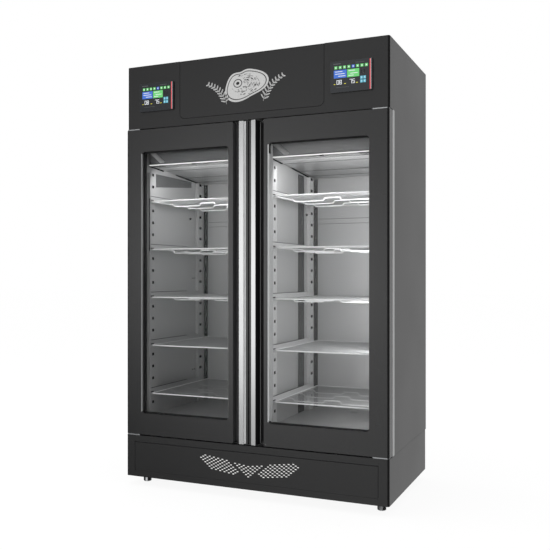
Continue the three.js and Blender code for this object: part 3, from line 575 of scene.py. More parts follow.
def wave_points(middle, side_end, y, top):
    low = top - WAVE_DROP
    outer, outer_low, inner_low, inner = WAVE_PLACES
    half = [(side_end, top), (outer, top), (outer_low, low), (inner_low, low), (inner, top)]
    places = [(-x, z) for x, z in half] + [(x, z) for x, z in reversed(half)]
    return [at(middle + x, y, z) for x, z in places]


def wire_shelf(name, sign, level):
    shape = bmesh.new()
    middle = sign * BAY_MIDDLE
    half = (SHELF_X[1] - SHELF_X[0]) / 2
    y0, y1 = inset(SHELF_Y, RIM_RADIUS)
    x0, x1 = inset((middle - half, middle + half), RIM_RADIUS)
    bent_rod(shape, rim_points(x0, x1, y0, y1, level + RIM_RADIUS), RIM_RADIUS, UP, closed=True)
    top = level + 2 * RIM_RADIUS - THIN_RADIUS
    for i in range(THIN_WIRES):
        x = x0 + (x1 - x0) * (i + 1) / (THIN_WIRES + 1)
        rod(shape, at(x, y0, top), at(x, y1, top), THIN_RADIUS, sides=6, number=1)
    for y in WAVE_ROWS:
        wave = wave_points(middle, half - WAVE_INSET, y, top - THIN_RADIUS - WAVE_RADIUS)
        bent_rod(shape, wave, WAVE_RADIUS, TO_BACK)
    return keep(name, shape, "cabinet", [bright_wire, net_wire], smooth=True)


for side, sign in SIDES.items():
    for i, level in enumerate(SHELF_LEVELS, 1):
        shelf = wire_shelf(f"wire_shelf_{side}_{i}", sign, level)
        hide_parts(f"shelf_{side}_{i}")
print("ten shelves,", len(shelf.data.polygons), "faces each")

# %% [markdown]
# ## Door glass
#
# Each door holds a sealed unit: panes with a gas space between them, kept apart by a black bar
# along the edge, and by a bright one on the handle side, whose brightness is painted light. The
# two outer panes and the bars replace the one solid. A black bead seals the front pane on three
# sides. A satin trim covers the handle side of the opening, a narrow dull one the front of the
# hinge side, with a painted cover behind it, and a lip lies on the door along the left edge of
# each window. The pale trims and lip are painted light, for the lamp-lit reveal on the handle side
# and the highlight on the window's front edge. The satin trim stops short of the top, so that the
# dark reveal above it stands for the shade there.

# %% Panes, spacers, trims, covers and beads
WINDOW_X, WINDOW_Z = (104, 582), (360, 1652.5)
PANE_FRONTS, PANE_THICKNESS, GLASS_EDGE = (14.6, 40.4), 4.0, 9.6
BAR_SINK, BAR_WIDTH, HINGE_BAR_WIDTH, BAR_EDGE = 8, 8.6, 4.5, 0.4
TRIM_START, TRIM_SHEET, TRIM_GAP, TRIM_END_GAP = DOOR_FRONT + 0.6, 0.8, 0.4, 1
# The satin trim on the handle side ends at this height; above it the dark reveal is painted shade.
HINGE_TRIM_BACK, TRIM_TOP_UNDER_SHADE = 0.2, 1605
LIP_WIDTH, LIP_SHEET, LIP_END_GAP, LIP_EDGE = 4.5, 0.5, 8, 0.2
COVER_GAP = 0.2
BEAD_RADIUS, BEAD_GAP, BEAD_START, BEAD_CORNER, BEAD_STEPS = 2.2, 0.2, 1, 16, 6


def add_panes(side, sign):
    panes = bmesh.new()
    across, upright = inset(WINDOW_X, -GLASS_EDGE), inset(WINDOW_Z, -GLASS_EDGE)
    for front in PANE_FRONTS:
        side_slab(panes, sign, across, (front, front + PANE_THICKNESS), upright)
    keep(f"panes_{side}", panes, f"door_{side}", pane_glass, replaces=[f"door_glass_{side}"])


def add_spacer(side, sign):
    bars = bmesh.new()
    gap = PANE_FRONTS[0] + PANE_THICKNESS + PIECE_MARGIN, PANE_FRONTS[1] - PIECE_MARGIN
    handle_side, hinge_side = inset(WINDOW_X, -BAR_SINK)
    handle_inside, hinge_inside = handle_side + BAR_WIDTH, hinge_side - HINGE_BAR_WIDTH
    low, high = inset(WINDOW_Z, -BAR_SINK)
    # The handle-side bar takes the satin finish as painted light from the lamp inside; the other bars
    # are black rubber.
    for across, upright, number in (
        ((handle_side, handle_inside), (low, high), 1),
        ((hinge_inside, hinge_side), (low, high), 0),
        ((handle_inside, hinge_inside), (low, low + BAR_WIDTH), 0),
        ((handle_inside, hinge_inside), (high - BAR_WIDTH, high), 0),
    ):
        side_slab(bars, sign, across, gap, upright, soften=BAR_EDGE, number=number)
    keep(f"spacer_{side}", bars, f"door_{side}", [rubber, satin_and_painted_light])


def add_trims(side, sign):
    trims = bmesh.new()
    # The trims' pale finishes are painted light: satin for the lamp-lit handle side, dull for the
    # highlight on the front of the hinge side.
    for x, back, top, number in (
        (WINDOW_X[0], PANE_FRONTS[0], TRIM_TOP_UNDER_SHADE, 0),
        (WINDOW_X[1] - TRIM_SHEET, HINGE_TRIM_BACK, WINDOW_Z[1], 1),
    ):
        deep, upright = (TRIM_START, back - TRIM_GAP), inset((WINDOW_Z[0], top), TRIM_END_GAP)
        side_slab(trims, sign, (x, x + TRIM_SHEET), deep, upright, number=number)
    # The lip's pale finish is a painted highlight on the window's left edge.
    edge = WINDOW_X[0] if sign > 0 else -WINDOW_X[1]
    low, high = inset(WINDOW_Z, LIP_END_GAP)
    slab(
        trims, at(edge - LIP_WIDTH, DOOR_FRONT - LIP_SHEET, low),
        at(edge + TRIM_SHEET, TRIM_START, high), soften=LIP_EDGE, number=int(sign < 0),
    )
    keep(f"window_light_trim_{side}", trims, f"door_{side}", [satin_and_painted_light, dull_painted_light])


def add_jamb_cover(side, sign):
    cover = bmesh.new()
    across = WINDOW_X[1] - TRIM_SHEET, WINDOW_X[1]
    deep = HINGE_TRIM_BACK, PANE_FRONTS[0] - COVER_GAP
    side_slab(cover, sign, across, deep, inset(WINDOW_Z, TRIM_END_GAP))
    keep(f"jamb_cover_{side}", cover, f"door_{side}", door_paint)


def add_bead(side, sign):
    bead = bmesh.new()
    off = BEAD_RADIUS + BEAD_GAP
    start, (low, high) = WINDOW_X[0] + BEAD_START, inset(WINDOW_Z, off)
    path = [(start, low)]
    for z, first in ((low + BEAD_CORNER, -90), (high - BEAD_CORNER, 0)):
        for step in range(BEAD_STEPS + 1):
            angle = math.radians(first + 90 * step / BEAD_STEPS)
            x = WINDOW_X[1] - off - BEAD_CORNER * (1 - math.cos(angle))
            path.append((x, z + BEAD_CORNER * math.sin(angle)))
    path.append((start, high))
    points = [at(sign * x, PANE_FRONTS[0] - off, z) for x, z in path]
    bent_rod(bead, points, BEAD_RADIUS, TO_BACK, sides=6)
    keep(f"glass_bead_{side}", bead, f"door_{side}", rubber, smooth=True)


for side, sign in SIDES.items():
    for add in (add_panes, add_spacer, add_trims, add_jamb_cover, add_bead):
        add(side, sign)

# %% [markdown]
# ## Handle edges
#
# A handle bar is folded from one sheet, with a bright plate on its face. The side toward the
# other door is pale too, with a lip that lies on the door: a near-white matt sheet that is a
# painted reflection. The side toward the finger groove is covered with black plastic. A dull
# pale strip covers the corner of each groove, and lighter grey covers line the left one: both
# are painted light in the shaded groove.

# %% Handle edges, plates, grips and groove covers
HANDLE_Z = (256.5, 1761.5)
EDGE_X, EDGE_Y, EDGE_END_GAP = (19.55, 19.95), (-16.6, -4.5), 1
FOOT_X, FOOT_Y = (14.2, 19.95), (-4.5, -3.7)
PLATE_START, PLATE_ENDS, PLATE_Y = 19.9, {"left": 43.0, "right": 41.0}, (-18.4, -18.05)
PLATE_END_GAP = 0.2
GRIP_X, GRIP_Y, GRIP_FRONT_Y, GRIP_END_GAP = (42.7, 44), (-17.4, 8.6, 28.4), (-18.35, -17.4), 0.4
GROOVE_STRIP = (44.4, 48.4), (27.4, 28.3)
GROOVE_COVERS = (((48.4, 79.1), (27.8, 28.3)), ((79.2, 79.8), (-8.6, 28)))
GROOVE_END_GAP = 3


def add_handle_edge(side, sign):
    edges = bmesh.new()
    tall = inset(HANDLE_Z, EDGE_END_GAP)
    # The near-white side and lip are a painted reflection.
    side_slab(edges, sign, EDGE_X, EDGE_Y, tall)
    side_slab(edges, sign, FOOT_X, FOOT_Y, tall)
    across, tall = (PLATE_START, PLATE_ENDS[side]), inset(HANDLE_Z, PLATE_END_GAP)
    side_slab(edges, sign, across, PLATE_Y, tall, number=1)
    keep(f"handle_side_sheen_{side}", edges, f"door_{side}", [handle_side_sheen, handle_steel])


def add_handle_grip(side, sign):
    grip = bmesh.new()
    tall = inset(HANDLE_Z, GRIP_END_GAP)
    if side == "right":
        side_slab(grip, sign, (PLATE_ENDS[side], GRIP_X[1]), GRIP_FRONT_Y, tall)
    for deep in zip(GRIP_Y, GRIP_Y[1:]):
        side_slab(grip, sign, GRIP_X, deep, tall)
    keep(f"handle_grip_{side}", grip, f"door_{side}", black_and_shade)


def add_groove_cover(side, sign):
    groove = bmesh.new()
    tall = inset(HANDLE_Z, GROOVE_END_GAP)
    # The pale strip and the lighter covers are painted light in the shaded groove.
    side_slab(groove, sign, *GROOVE_STRIP, tall, number=1)
    if side == "left":
        for across, deep in GROOVE_COVERS:
            side_slab(groove, sign, across, deep, tall)
    keep(f"groove_cover_{side}", groove, f"door_{side}", [groove_painted_light, dull_painted_light])


for side, sign in SIDES.items():
    for add in (add_handle_edge, add_handle_grip, add_groove_cover):
        add(side, sign)

# %% [markdown]
# ## Touch displays
#
# Behind a black glass front sits a small screen. Its picture is built of thin glowing tiles: a
# row of status lights, two large tiles with lines on them, two groups of figures made of short
# strokes, four keys under a ring, and two stripes down the right edge.

# %% Screens
DISPLAY_X, DISPLAY_Z, DISPLAY_FRONT = 500, 1920, -8.0
SCREEN_X, SCREEN_Y, SCREEN_Z = (404.5, 595.5), (-8.1, -7.8), (1852, 1988)
TILE_LIFT, MARK_LIFT = 0.25, 0.35
LIGHT_COUNT, BLUE_LIGHT, LIGHT_START, LIGHT_STEP = 8, 4, (-77, 34), 20
LIGHT_SIZE, LIGHT_MARK = (13, 13), ((4, 9), (4, 9))
KEY_START, KEY_STEPS, KEY_SIZE, KEY_MARK = (42, -35), (14, 16), (11, 13), ((4, 7), (5, 8))
PLAIN_TILES = (
    (-80, -6, -21, 29, "blue"), (-18, -6, 37, 29, "green"), (-80, -34, -73, -31, "yellow"),
    (-32, -34, -24, -31, "yellow"), (22, -34, 31, -31, "yellow"), (-70, -48, -10, -46.5, "grey"),
    (-82, 55, -48, 59, "grey"), (20, 55, 60, 57, "grey"), (84.5, -66, 88.5, 66, "red"),
    (89.2, -66, 90.4, 66, "white"),
)
LINE_HEIGHT, LINES = 2.6, (
    (-74, -40, 21), (-74, -30, 11), (-60, -26, 1), (-12, 18, 21), (-4, 30, 9), (-12, 12, 0),
)
FIGURE_Z, FIGURE_HEIGHT, FIGURES = -33, 17, ((-66, 0), (-53, 8), (-6, 7), (7, 5))
FIGURE_WIDTH, STROKE_WIDTH = 0.5, 0.14
RING_MIDDLE, RING_REACH, RING_WIRE, RING_STEPS = (54, 14), (8, 9), 0.9, 12
STROKES = {0: "abcdef", 5: "afgcd", 7: "abc", 8: "abcdefg"}
STROKE_PLACES = {
    "a": (0, 2, 1, 0), "b": (1, 1, 0, 1), "c": (1, 0, 0, 1), "d": (0, 0, 1, 0),
    "e": (0, 0, 0, 1), "f": (0, 1, 0, 1), "g": (0, 1, 1, 0),
}
SCREEN_ORDER = list(SCREEN)


def tile(shape, centre_x, x0, z0, x1, z1, colour, lift=TILE_LIFT):
    slab(
        shape, at(centre_x + x0, DISPLAY_FRONT - lift, DISPLAY_Z + z0),
        at(centre_x + x1, DISPLAY_FRONT + PIECE_MARGIN, DISPLAY_Z + z1),
        number=1 + SCREEN_ORDER.index(colour),
    )


def marked_tile(shape, centre_x, x, z, size, mark, colour):
    tile(shape, centre_x, x, z, x + size[0], z + size[1], colour)
    (x0, x1), (z0, z1) = mark
    tile(shape, centre_x, x + x0, z + z0, x + x1, z + z1, "white", MARK_LIFT)


def figure(shape, centre_x, x, z, digit):
    tall, width, thick = FIGURE_HEIGHT, FIGURE_HEIGHT * FIGURE_WIDTH, FIGURE_HEIGHT * STROKE_WIDTH
    for stroke in STROKES[digit]:
        i, j, across, up = STROKE_PLACES[stroke]
        left, bottom = x + i * width, z + j * tall / 2
        tile(
            shape, centre_x, left - thick / 2, bottom - thick / 2,
            left + across * width + thick / 2, bottom + up * tall / 2 + thick / 2, "white",
        )


def add_ring(shape, centre_x):
    x, z = centre_x + RING_MIDDLE[0], DISPLAY_Z + RING_MIDDLE[1]
    number = 1 + SCREEN_ORDER.index("white")
    turns = [math.radians(360 * i / RING_STEPS) for i in range(RING_STEPS)]
    ring = [
        at(x + RING_REACH[0] * math.cos(turn), DISPLAY_FRONT, z + RING_REACH[1] * math.sin(turn))
        for turn in turns
    ]
    bent_rod(shape, ring, RING_WIRE, TO_BACK, sides=6, closed=True, number=number)


for side, sign in SIDES.items():
    middle = sign * DISPLAY_X
    front = bmesh.new()
    side_slab(front, sign, SCREEN_X, SCREEN_Y, SCREEN_Z)
    keep(f"screen_front_{side}", front, "cabinet", screen_glass)
    picture = bmesh.new()
    for i in range(LIGHT_COUNT):
        x, colour = LIGHT_START[0] + i * LIGHT_STEP, "blue" if i == BLUE_LIGHT else "green"
        marked_tile(picture, middle, x, LIGHT_START[1], LIGHT_SIZE, LIGHT_MARK, colour)
    for place in PLAIN_TILES:
        tile(picture, middle, *place)
    for x0, x1, z in LINES:
        tile(picture, middle, x0, z, x1, z + LINE_HEIGHT, "white", MARK_LIFT)
    for x, digit in FIGURES:
        figure(picture, middle, x, FIGURE_Z, digit)
    for i in range(2):
        for j in range(2):
            x, z = KEY_START[0] + i * KEY_STEPS[0], KEY_START[1] + j * KEY_STEPS[1]
            marked_tile(picture, middle, x, z, KEY_SIZE, KEY_MARK, "cyan")
    add_ring(picture, middle)
    keep(f"screen_picture_{side}", picture, "cabinet", [screen_glass, *SCREEN.values()])

# %% [markdown]
# ## Chamber lamps
#
# Each compartment is lit by an upright lamp on its right-hand wall, just behind the door frame,
# and by a strip along the front edge of the ceiling tray. The left upright lamp is short and
# high, so its compartment is darker low down. The light of a strip shines down and back from
# below it, so that the tray's edge isn't washed out.

# %% Lamps
LAMP_SPANS = {"left": (1150, 1500), "right": (480, 1500)}
LAMP_Y, LAMP_DEPTH, LAMP_EDGE = (110, 126), 9, 3.0
LAMP_POWERS = {"left": 0.55, "right": 3.3}
LIGHT_OFF_WALL, LIGHT_Y, LIGHT_WIDTH, LIGHT_TURN = 14, 118, 30, 55
STRIP_POWERS, STRIP_SIZE, STRIP_LEAN = {"left": 1.75, "right": 2.0}, (360, 12), 48
STRIP_BACK, STRIP_DROP = 4, 45
TRAY_X, TRAY_FRONT, TRAY_EDGE_Z, HEM_RADIUS = (88, 583), 60.6, 1595.5, 2.4


def chamber_light(name, place, size, turn, power):
    light = bpy.data.lights.new(name, "AREA")
    light.shape = "RECTANGLE"
    light.size, light.size_y = (side * MM for side in size)
    light.energy = power
    source = bpy.data.objects.new(name, light)
    source.location = place
    source.rotation_euler = [math.radians(angle) for angle in turn]
    source.visible_glossy = False
    bpy.context.collection.objects.link(source)


for side, sign in SIDES.items():
    wall_x = -WALL_X if sign < 0 else BAY_END
    low, high = LAMP_SPANS[side]
    cover = bmesh.new()
    slab(
        cover, at(wall_x - LAMP_DEPTH, LAMP_Y[0], low),
        at(wall_x - PIECE_MARGIN, LAMP_Y[1], high), soften=LAMP_EDGE,
    )
    keep(f"lamp_{side}", cover, "cabinet", lamp_cover)
    middle, size = at(wall_x - LIGHT_OFF_WALL, LIGHT_Y, (low + high) / 2), (LIGHT_WIDTH, high - low)
    chamber_light(f"chamber_light_{side}", middle, size, (90, 0, LIGHT_TURN), LAMP_POWERS[side])
    strip = bmesh.new()
    ends = [at(x, TRAY_FRONT, TRAY_EDGE_Z) for x in sorted(sign * x for x in TRAY_X)]
    rod(strip, *ends, HEM_RADIUS)
    keep(f"strip_lamp_{side}", strip, "cabinet", strip_cover, smooth=True)
    below = at(sign * BAY_MIDDLE, TRAY_FRONT + STRIP_BACK, TRAY_EDGE_Z - STRIP_DROP)
    chamber_light(f"strip_light_{side}", below, STRIP_SIZE, (STRIP_LEAN, 0, 0), STRIP_POWERS[side])

# %% [markdown]
# ## Shade in the back corners and in the slots
#
# A dark band runs up both back corners of each compartment as painted shade: black in the left
# bay, grey in the right, which is lit more. Another grey band runs up the right-hand face of the
# partition, a painted dark reflection. The slots of the uprights open into their dark hollow
# inside, so each is filled with black and ringed with a black rim on the face, as painted shade,
# except where a shelf runner covers it.

# %% Shade bands and slot shadows
WALLS = ((WALL_X, 1), (BAY_END, -1))
UPRIGHT_RISE, UPRIGHT_TOP, FACE_GAP = 18.0, 1559, 0.05
SLOT_DEPTH, SLOT_WIDTH, SLOT_HEIGHT, SLOT_PLAY = 6.0, 6, 10, 0.2
SLOT_MIDDLES = (80.7, 571.5)
SHADOW_RIM_WIDTHS, SHADOW_RIM_HEIGHT, SHADOW_RIM_SHEET = (17, 25), 14, 0.35
SLOT_COUNT, SLOT_START, SLOT_PITCH = 20, 403.6, 60.3
RUNNER_HEIGHT = 28
SHADE_BAND_Y, SHADE_BAND_Z, SHADE_BAND_WIDTH, SHADE_BAND_EDGE = (646, 648.7), (FLOOR_TOP + 1, 1560), 24, 0.5
REFLECTION_BAND_X, REFLECTION_BAND_Y, REFLECTION_BAND_EDGE = (WALL_X + 0.2, WALL_X + 1.4), (420, 505), 0.3


# Each slot is filled with black and ringed by a black rim on the face: painted shade for the hollow
# inside the upright.
def add_shadow_plugs(shape, sign, wall, inward):
    face = wall + inward * UPRIGHT_RISE
    hole = face - inward * (SLOT_DEPTH - PIECE_MARGIN), face
    shadow_rim = face + inward * FACE_GAP, face + inward * SHADOW_RIM_SHEET
    for y, wide in zip(SLOT_MIDDLES, SHADOW_RIM_WIDTHS):
        for i in range(SLOT_COUNT):
            z = SLOT_START + i * SLOT_PITCH
            hooked = any(level < z < level + RUNNER_HEIGHT for level in SHELF_LEVELS)
            if hooked or z + SLOT_HEIGHT / 2 > UPRIGHT_TOP:
                continue
            for across, width, height in (
                (hole, SLOT_WIDTH - SLOT_PLAY, SLOT_HEIGHT - SLOT_PLAY),
                (shadow_rim, wide, SHADOW_RIM_HEIGHT),
            ):
                deep, upright = (y - width / 2, y + width / 2), (z - height / 2, z + height / 2)
                side_slab(shape, sign, across, deep, upright)


for side, sign in SIDES.items():
    shade_band = bmesh.new()
    shadow_plugs = bmesh.new()
    for wall, inward in WALLS:
        across = wall + inward * PIECE_MARGIN, wall + inward * SHADE_BAND_WIDTH
        side_slab(shade_band, sign, across, SHADE_BAND_Y, SHADE_BAND_Z, soften=SHADE_BAND_EDGE)
        add_shadow_plugs(shadow_plugs, sign, wall, inward)
    # Painted shade in the back corners: black in the left bay, grey in the right.
    keep(f"corner_shade_{side}", shade_band, "cabinet", black_and_shade if sign < 0 else grey_shade)
    keep(f"slot_shadow_plugs_{side}", shadow_plugs, "cabinet", black_and_shade)
# A grey band on the partition's right face is a painted dark reflection.
shade_band = bmesh.new()
side_slab(shade_band, 1, REFLECTION_BAND_X, REFLECTION_BAND_Y, SHADE_BAND_Z, soften=REFLECTION_BAND_EDGE)
keep("partition_dark_reflection", shade_band, "cabinet", grey_shade)

# %% [markdown]
# ## Painted shade and fittings of the chamber
#
# Black strips and squares paint the shade in the folds and holes of each ceiling tray and in the
# gaps beside it, at the front corners of the shelves, over each runner as its shadow, in the
# folds across the back wall and in the left bay's front corner. Three pale diagonal rods and a
# plate stand before each tray; the plate is painted shade, darker in the left bay than the right,
# and so is a dark plate beside the left tray. Then come sensors with their screws, and a drain in
# each floor.

# %% Painted shade in tray folds and gaps, at the shelf fronts, and runner shadows
TRAY_BACK_Y, TRAY_BACK_Z = 640, 1563
FOLD_PLACES, FOLD_INSET, FOLD_HALF, FOLD_DROP, FOLD_SHEET = (121, 212, 418, 556), 6, 1.6, 2.6, 0.8
GAP_SPANS, GAP_OFF, GAP_RADIUS = ((70, 200, 1, 3), (330, 628, 1, 7)), 5, 3.8
HOLE_ROWS, HOLE_START, HOLE_STEPS = (6, 3), (12, 70), (11, 13)
HOLE_HALF, HOLE_DROP, HOLE_SHEET = 3.5, 2.4, 0.6
CATCH_HALF, CATCH_Y, CATCH_DROPS = 9, (TRAY_FRONT + 5, TRAY_FRONT + 17), (5, 2.6)
FRONT_SHADE_SHEET, FRONT_SHADE_Y, FRONT_SHADE_RISE, FRONT_SHADE_EDGE = 2.6, (57, 84), (7, 12), 0.5
SHADOW_SHEET, SHADOW_Y, SHADOW_HEIGHT = 0.6, (60, 420), 2.4
BACK_FOLDS, BACK_FOLD_INSET, BACK_FOLD_Y, BACK_FOLD_WIDTH = (1317.5, 1344), 20, (648.2, 648.8), 1.6
CORNER_LINE = (576.3, 580.3), (53.4, 54.0), (1165, 1430)


def tray_height(y):
    return TRAY_EDGE_Z + (TRAY_BACK_Z - TRAY_EDGE_Z) * (y - TRAY_FRONT) / (TRAY_BACK_Y - TRAY_FRONT)


def add_tray_marks(dark, sign):
    # Black strips, rods and squares paint the shade in the tray's folds, in the gaps beside it and in
    # its holes.
    for y in FOLD_PLACES:
        z = tray_height(y) - FOLD_DROP
        across, deep = inset(TRAY_X, FOLD_INSET), (y - FOLD_HALF, y + FOLD_HALF)
        side_slab(dark, sign, across, deep, (z, z + FOLD_SHEET))
    for x in inset(TRAY_X, -GAP_OFF):
        for start, end, first_drop, last_drop in GAP_SPANS:
            first, last = tray_height(start) - first_drop, tray_height(end) - last_drop
            rod(dark, at(sign * x, start, first), at(sign * x, end, last), GAP_RADIUS, sides=4)
    for i in range(HOLE_ROWS[0]):
        for j in range(HOLE_ROWS[1]):
            x = TRAY_X[1] - HOLE_START[0] - HOLE_STEPS[0] * i
            y = HOLE_START[1] + HOLE_STEPS[1] * j
            z = tray_height(y) - HOLE_DROP
            across, deep = (x - HOLE_HALF, x + HOLE_HALF), (y - HOLE_HALF, y + HOLE_HALF)
            side_slab(dark, sign, across, deep, (z, z + HOLE_SHEET))
    across = BAY_MIDDLE - CATCH_HALF, BAY_MIDDLE + CATCH_HALF
    side_slab(dark, sign, across, CATCH_Y, [TRAY_EDGE_Z - drop for drop in CATCH_DROPS])


def add_wall_marks(dark, sign):
    # Black strips paint the shade at the runner fronts, a shadow over each runner, and the shade in the
    # back wall's folds and in the left bay's front corner.
    for level in SHELF_LEVELS:
        for wall, inward in WALLS:
            face = wall + inward * UPRIGHT_RISE
            across = face + inward * FACE_GAP, face + inward * FRONT_SHADE_SHEET
            upright = [level + rise for rise in FRONT_SHADE_RISE]
            side_slab(dark, sign, across, FRONT_SHADE_Y, upright, soften=FRONT_SHADE_EDGE)
            across = face + inward * FACE_GAP, face + inward * SHADOW_SHEET
            top = level + RUNNER_HEIGHT
            side_slab(dark, sign, across, SHADOW_Y, (top, top + SHADOW_HEIGHT))
    across = inset((WALL_X, BAY_END), BACK_FOLD_INSET)
    for z in BACK_FOLDS:
        side_slab(dark, sign, across, BACK_FOLD_Y, (z, z + BACK_FOLD_WIDTH))
    if sign < 0:
        side_slab(dark, sign, *CORNER_LINE)


# %% Tray shade, pale diagonal rods and front plates
SHADE_SHEET, SHADE_Y, SHADE_Z, SHADE_RISE = (0.3, 1.2), (110, 500), (1491, 1562), 38
DIAGONAL_COUNT, DIAGONAL_START, DIAGONAL_STEP, DIAGONAL_RADIUS = 3, 22, 8, 5.6
DIAGONAL_Y, DIAGONAL_TOP, DIAGONAL_RUN = TRAY_FRONT - 3.4, 1656, Vector((58, 0, -50)) * MM
PLATE_FACE_Y, PLATE_Z = (61.0, 61.9), (TRAY_EDGE_Z + 6, CEILING - 1)


def add_tray_shade(side, sign):
    shade = bmesh.new()
    wall_x = -BAY_END if sign < 0 else WALL_X
    # A dark plate on the left wall under the tray is painted shade.
    if side == "left":
        middle = at(wall_x, sum(SHADE_Y) / 2, sum(SHADE_Z) / 2)
        across = [BAY_END - off for off in SHADE_SHEET]
        for corner in side_slab(shade, sign, across, SHADE_Y, SHADE_Z):
            if corner.co.y > middle.y and corner.co.z < middle.z:
                corner.co.z += SHADE_RISE * MM
    for i in range(DIAGONAL_COUNT):
        start = at(wall_x + DIAGONAL_START + DIAGONAL_STEP * i, DIAGONAL_Y, DIAGONAL_TOP)
        rod(shade, start, start + DIAGONAL_RUN, DIAGONAL_RADIUS, sides=4, number=1)
    # The plate before each tray is painted shade, darker in the left bay than in the right.
    side_slab(shade, sign, TRAY_X, PLATE_FACE_Y, PLATE_Z, number=0 if sign < 0 else 2)
    keep(f"tray_shade_{side}", shade, "cabinet", [tray_shade, satin_and_painted_light, dull_painted_light])


# %% Sensors and drains
SENSOR, SCREW = (0.3, 9, 5.5, 16), (0.2, 2.6, 4, 10)
WALL_SCREWS = [(-BAY_END, y, z, *SCREW) for y in (513, 535.5) for z in (1027, 518)]
SENSORS = {
    "left": [(-BAY_END, 483, 1355, *SENSOR), *WALL_SCREWS], "right": [(WALL_X, 533, 1360, *SENSOR)],
}
DRAIN_Y, DRAIN_RADIUS, DRAIN_RISE = 560, 24, (0.3, 1.8)
DRAIN_HOLES, HOLE_CIRCLE, HOLE_RADIUS, HOLE_LIFT, HOLE_HEIGHT = 6, 13, 3.2, 1.9, 0.4


def add_sensors(side):
    sensors = bmesh.new()
    for x, y, z, start, end, radius, sides in SENSORS[side]:
        rod(sensors, at(x + start, y, z), at(x + end, y, z), radius, sides)
    keep(f"sensors_{side}", sensors, "cabinet", moulded, smooth=True)


def add_drain(side, sign):
    drain = bmesh.new()
    middle = at(sign * BAY_MIDDLE, DRAIN_Y, FLOOR_TOP)
    rod(drain, *(middle + UP * rise * MM for rise in DRAIN_RISE), DRAIN_RADIUS, sides=28)
    # The dark discs paint the shade inside the drain's holes.
    for i in range(DRAIN_HOLES):
        turn = math.radians(360 * i / DRAIN_HOLES)
        across, back = HOLE_CIRCLE * math.cos(turn), HOLE_CIRCLE * math.sin(turn)
        hole = middle + Vector((across, back, HOLE_LIFT)) * MM
        rod(drain, hole, hole + UP * HOLE_HEIGHT * MM, HOLE_RADIUS, sides=10, number=1)
    keep(f"drain_{side}", drain, "cabinet", [satin_and_painted_light, black_and_shade], smooth=True)


for side, sign in SIDES.items():
    dark = bmesh.new()
    add_tray_marks(dark, sign)
    add_wall_marks(dark, sign)
    keep(f"shade_marks_{side}", dark, "cabinet", black_and_shade)
    add_tray_shade(side, sign)
    add_sensors(side)
    add_drain(side, sign)

# %% [markdown]
# ## Behind the service panel
#
# A pale filter mat shows through the vent slots and glows a little, as painted light for the
# brightness seen through them. A black strip runs round the panel just behind its gaps, as
# painted shade in the gaps.

# %% Filter mat and painted gap shade
PANEL_X, PANEL_Z = 621.5, (76.3, 215)
MAT_HALF, MAT_Y, MAT_INSET, MAT_EDGE = 275, (-7.2, -2), 22, 1.5
GAP_SHADE_Y, GAP_SHADE_WIDTH, GAP_SHADE_Z = (-5, 6), 1.6, (PANEL_Z[0] + 1, PANEL_Z[1] + 2.6)
mat = bmesh.new()
side_slab(mat, 1, (-MAT_HALF, MAT_HALF), MAT_Y, inset(PANEL_Z, MAT_INSET), soften=MAT_EDGE)
keep("filter_mat", mat, "service_panel", filter_mat)
# A black strip behind the panel's gaps is painted shade in them.
gap_shade = bmesh.new()
gap_shade_start = PANEL_X + PIECE_MARGIN
for sign in (-1, 1):
    side_slab(gap_shade, sign, (gap_shade_start, gap_shade_start + GAP_SHADE_WIDTH), GAP_SHADE_Y, GAP_SHADE_Z)
side_slab(gap_shade, 1, (-PANEL_X, PANEL_X), GAP_SHADE_Y, (PANEL_Z[1] + PIECE_MARGIN, GAP_SHADE_Z[1]))
keep("panel_gap_shade", gap_shade, "cabinet", rubber)

# %% [markdown]
# ## Back of the cabinet
#
# A guard of steel rods closes the back of the base, where warm air leaves, and sunk screws hold
# the back skin along its edges.

# %% Rear guard
GUARD_END, GUARD_Z, GUARD_RADIUS = 667, (72, 244), 1.8
GUARD_WIRES, WIRE_Y = 11, 696
GUARD_BARS, BAR_END, BAR_Y, BAR_Z = 7, 661, 699, (69, 246)
guard = bmesh.new()
for i in range(GUARD_WIRES):
    z = GUARD_Z[0] + (GUARD_Z[1] - GUARD_Z[0]) * i / (GUARD_WIRES - 1)
    rod(guard, at(-GUARD_END, WIRE_Y, z), at(GUARD_END, WIRE_Y, z), GUARD_RADIUS)
for i in range(GUARD_BARS):
    x = (2 * i / (GUARD_BARS - 1) - 1) * BAR_END
    rod(guard, at(x, BAR_Y, BAR_Z[0]), at(x, BAR_Y, BAR_Z[1]), GUARD_RADIUS)
keep("rear_guard", guard, "cabinet", zinc, smooth=True)

# %% Screws of the back skin
BACK_FACE, HEAD_RADIUS, HEAD_RISE, CROSS_RISE = 717, 5, (0.02, 0.3), (0.3, 0.4)
CROSS_ARMS = ((3.4, 0.7), (0.7, 3.4))
SCREW_X, SCREW_Z, EDGE_SCREW_X = 655, (275, 560, 850, 1150, 1440, 1740, 2055), (-330, 0, 330)
screws = bmesh.new()
places = [(sign * SCREW_X, z) for sign in (-1, 1) for z in SCREW_Z]
places += [(x, z) for x in EDGE_SCREW_X for z in (SCREW_Z[0], SCREW_Z[-1])]
for x, z in places:
    rod(screws, *(at(x, BACK_FACE + rise, z) for rise in HEAD_RISE), HEAD_RADIUS, sides=14)
    # The black crosses paint the shade in the screw heads' recesses.
    for wide, high in CROSS_ARMS:
        slab(
            screws, at(x - wide, BACK_FACE + CROSS_RISE[0], z - high),
            at(x + wide, BACK_FACE + CROSS_RISE[1], z + high), number=1,
        )
keep("back_screws", screws, "cabinet", [zinc, black_and_shade], smooth=True)

# %% [markdown]
# ## Picture on the hatch
#
# The hatch carries a printed picture in pale grey: a steak with a round bone, between two leafy
# sprigs. Every part is a disc, stretched and bent into shape, each layer a hair's breadth in
# front of the one under it.

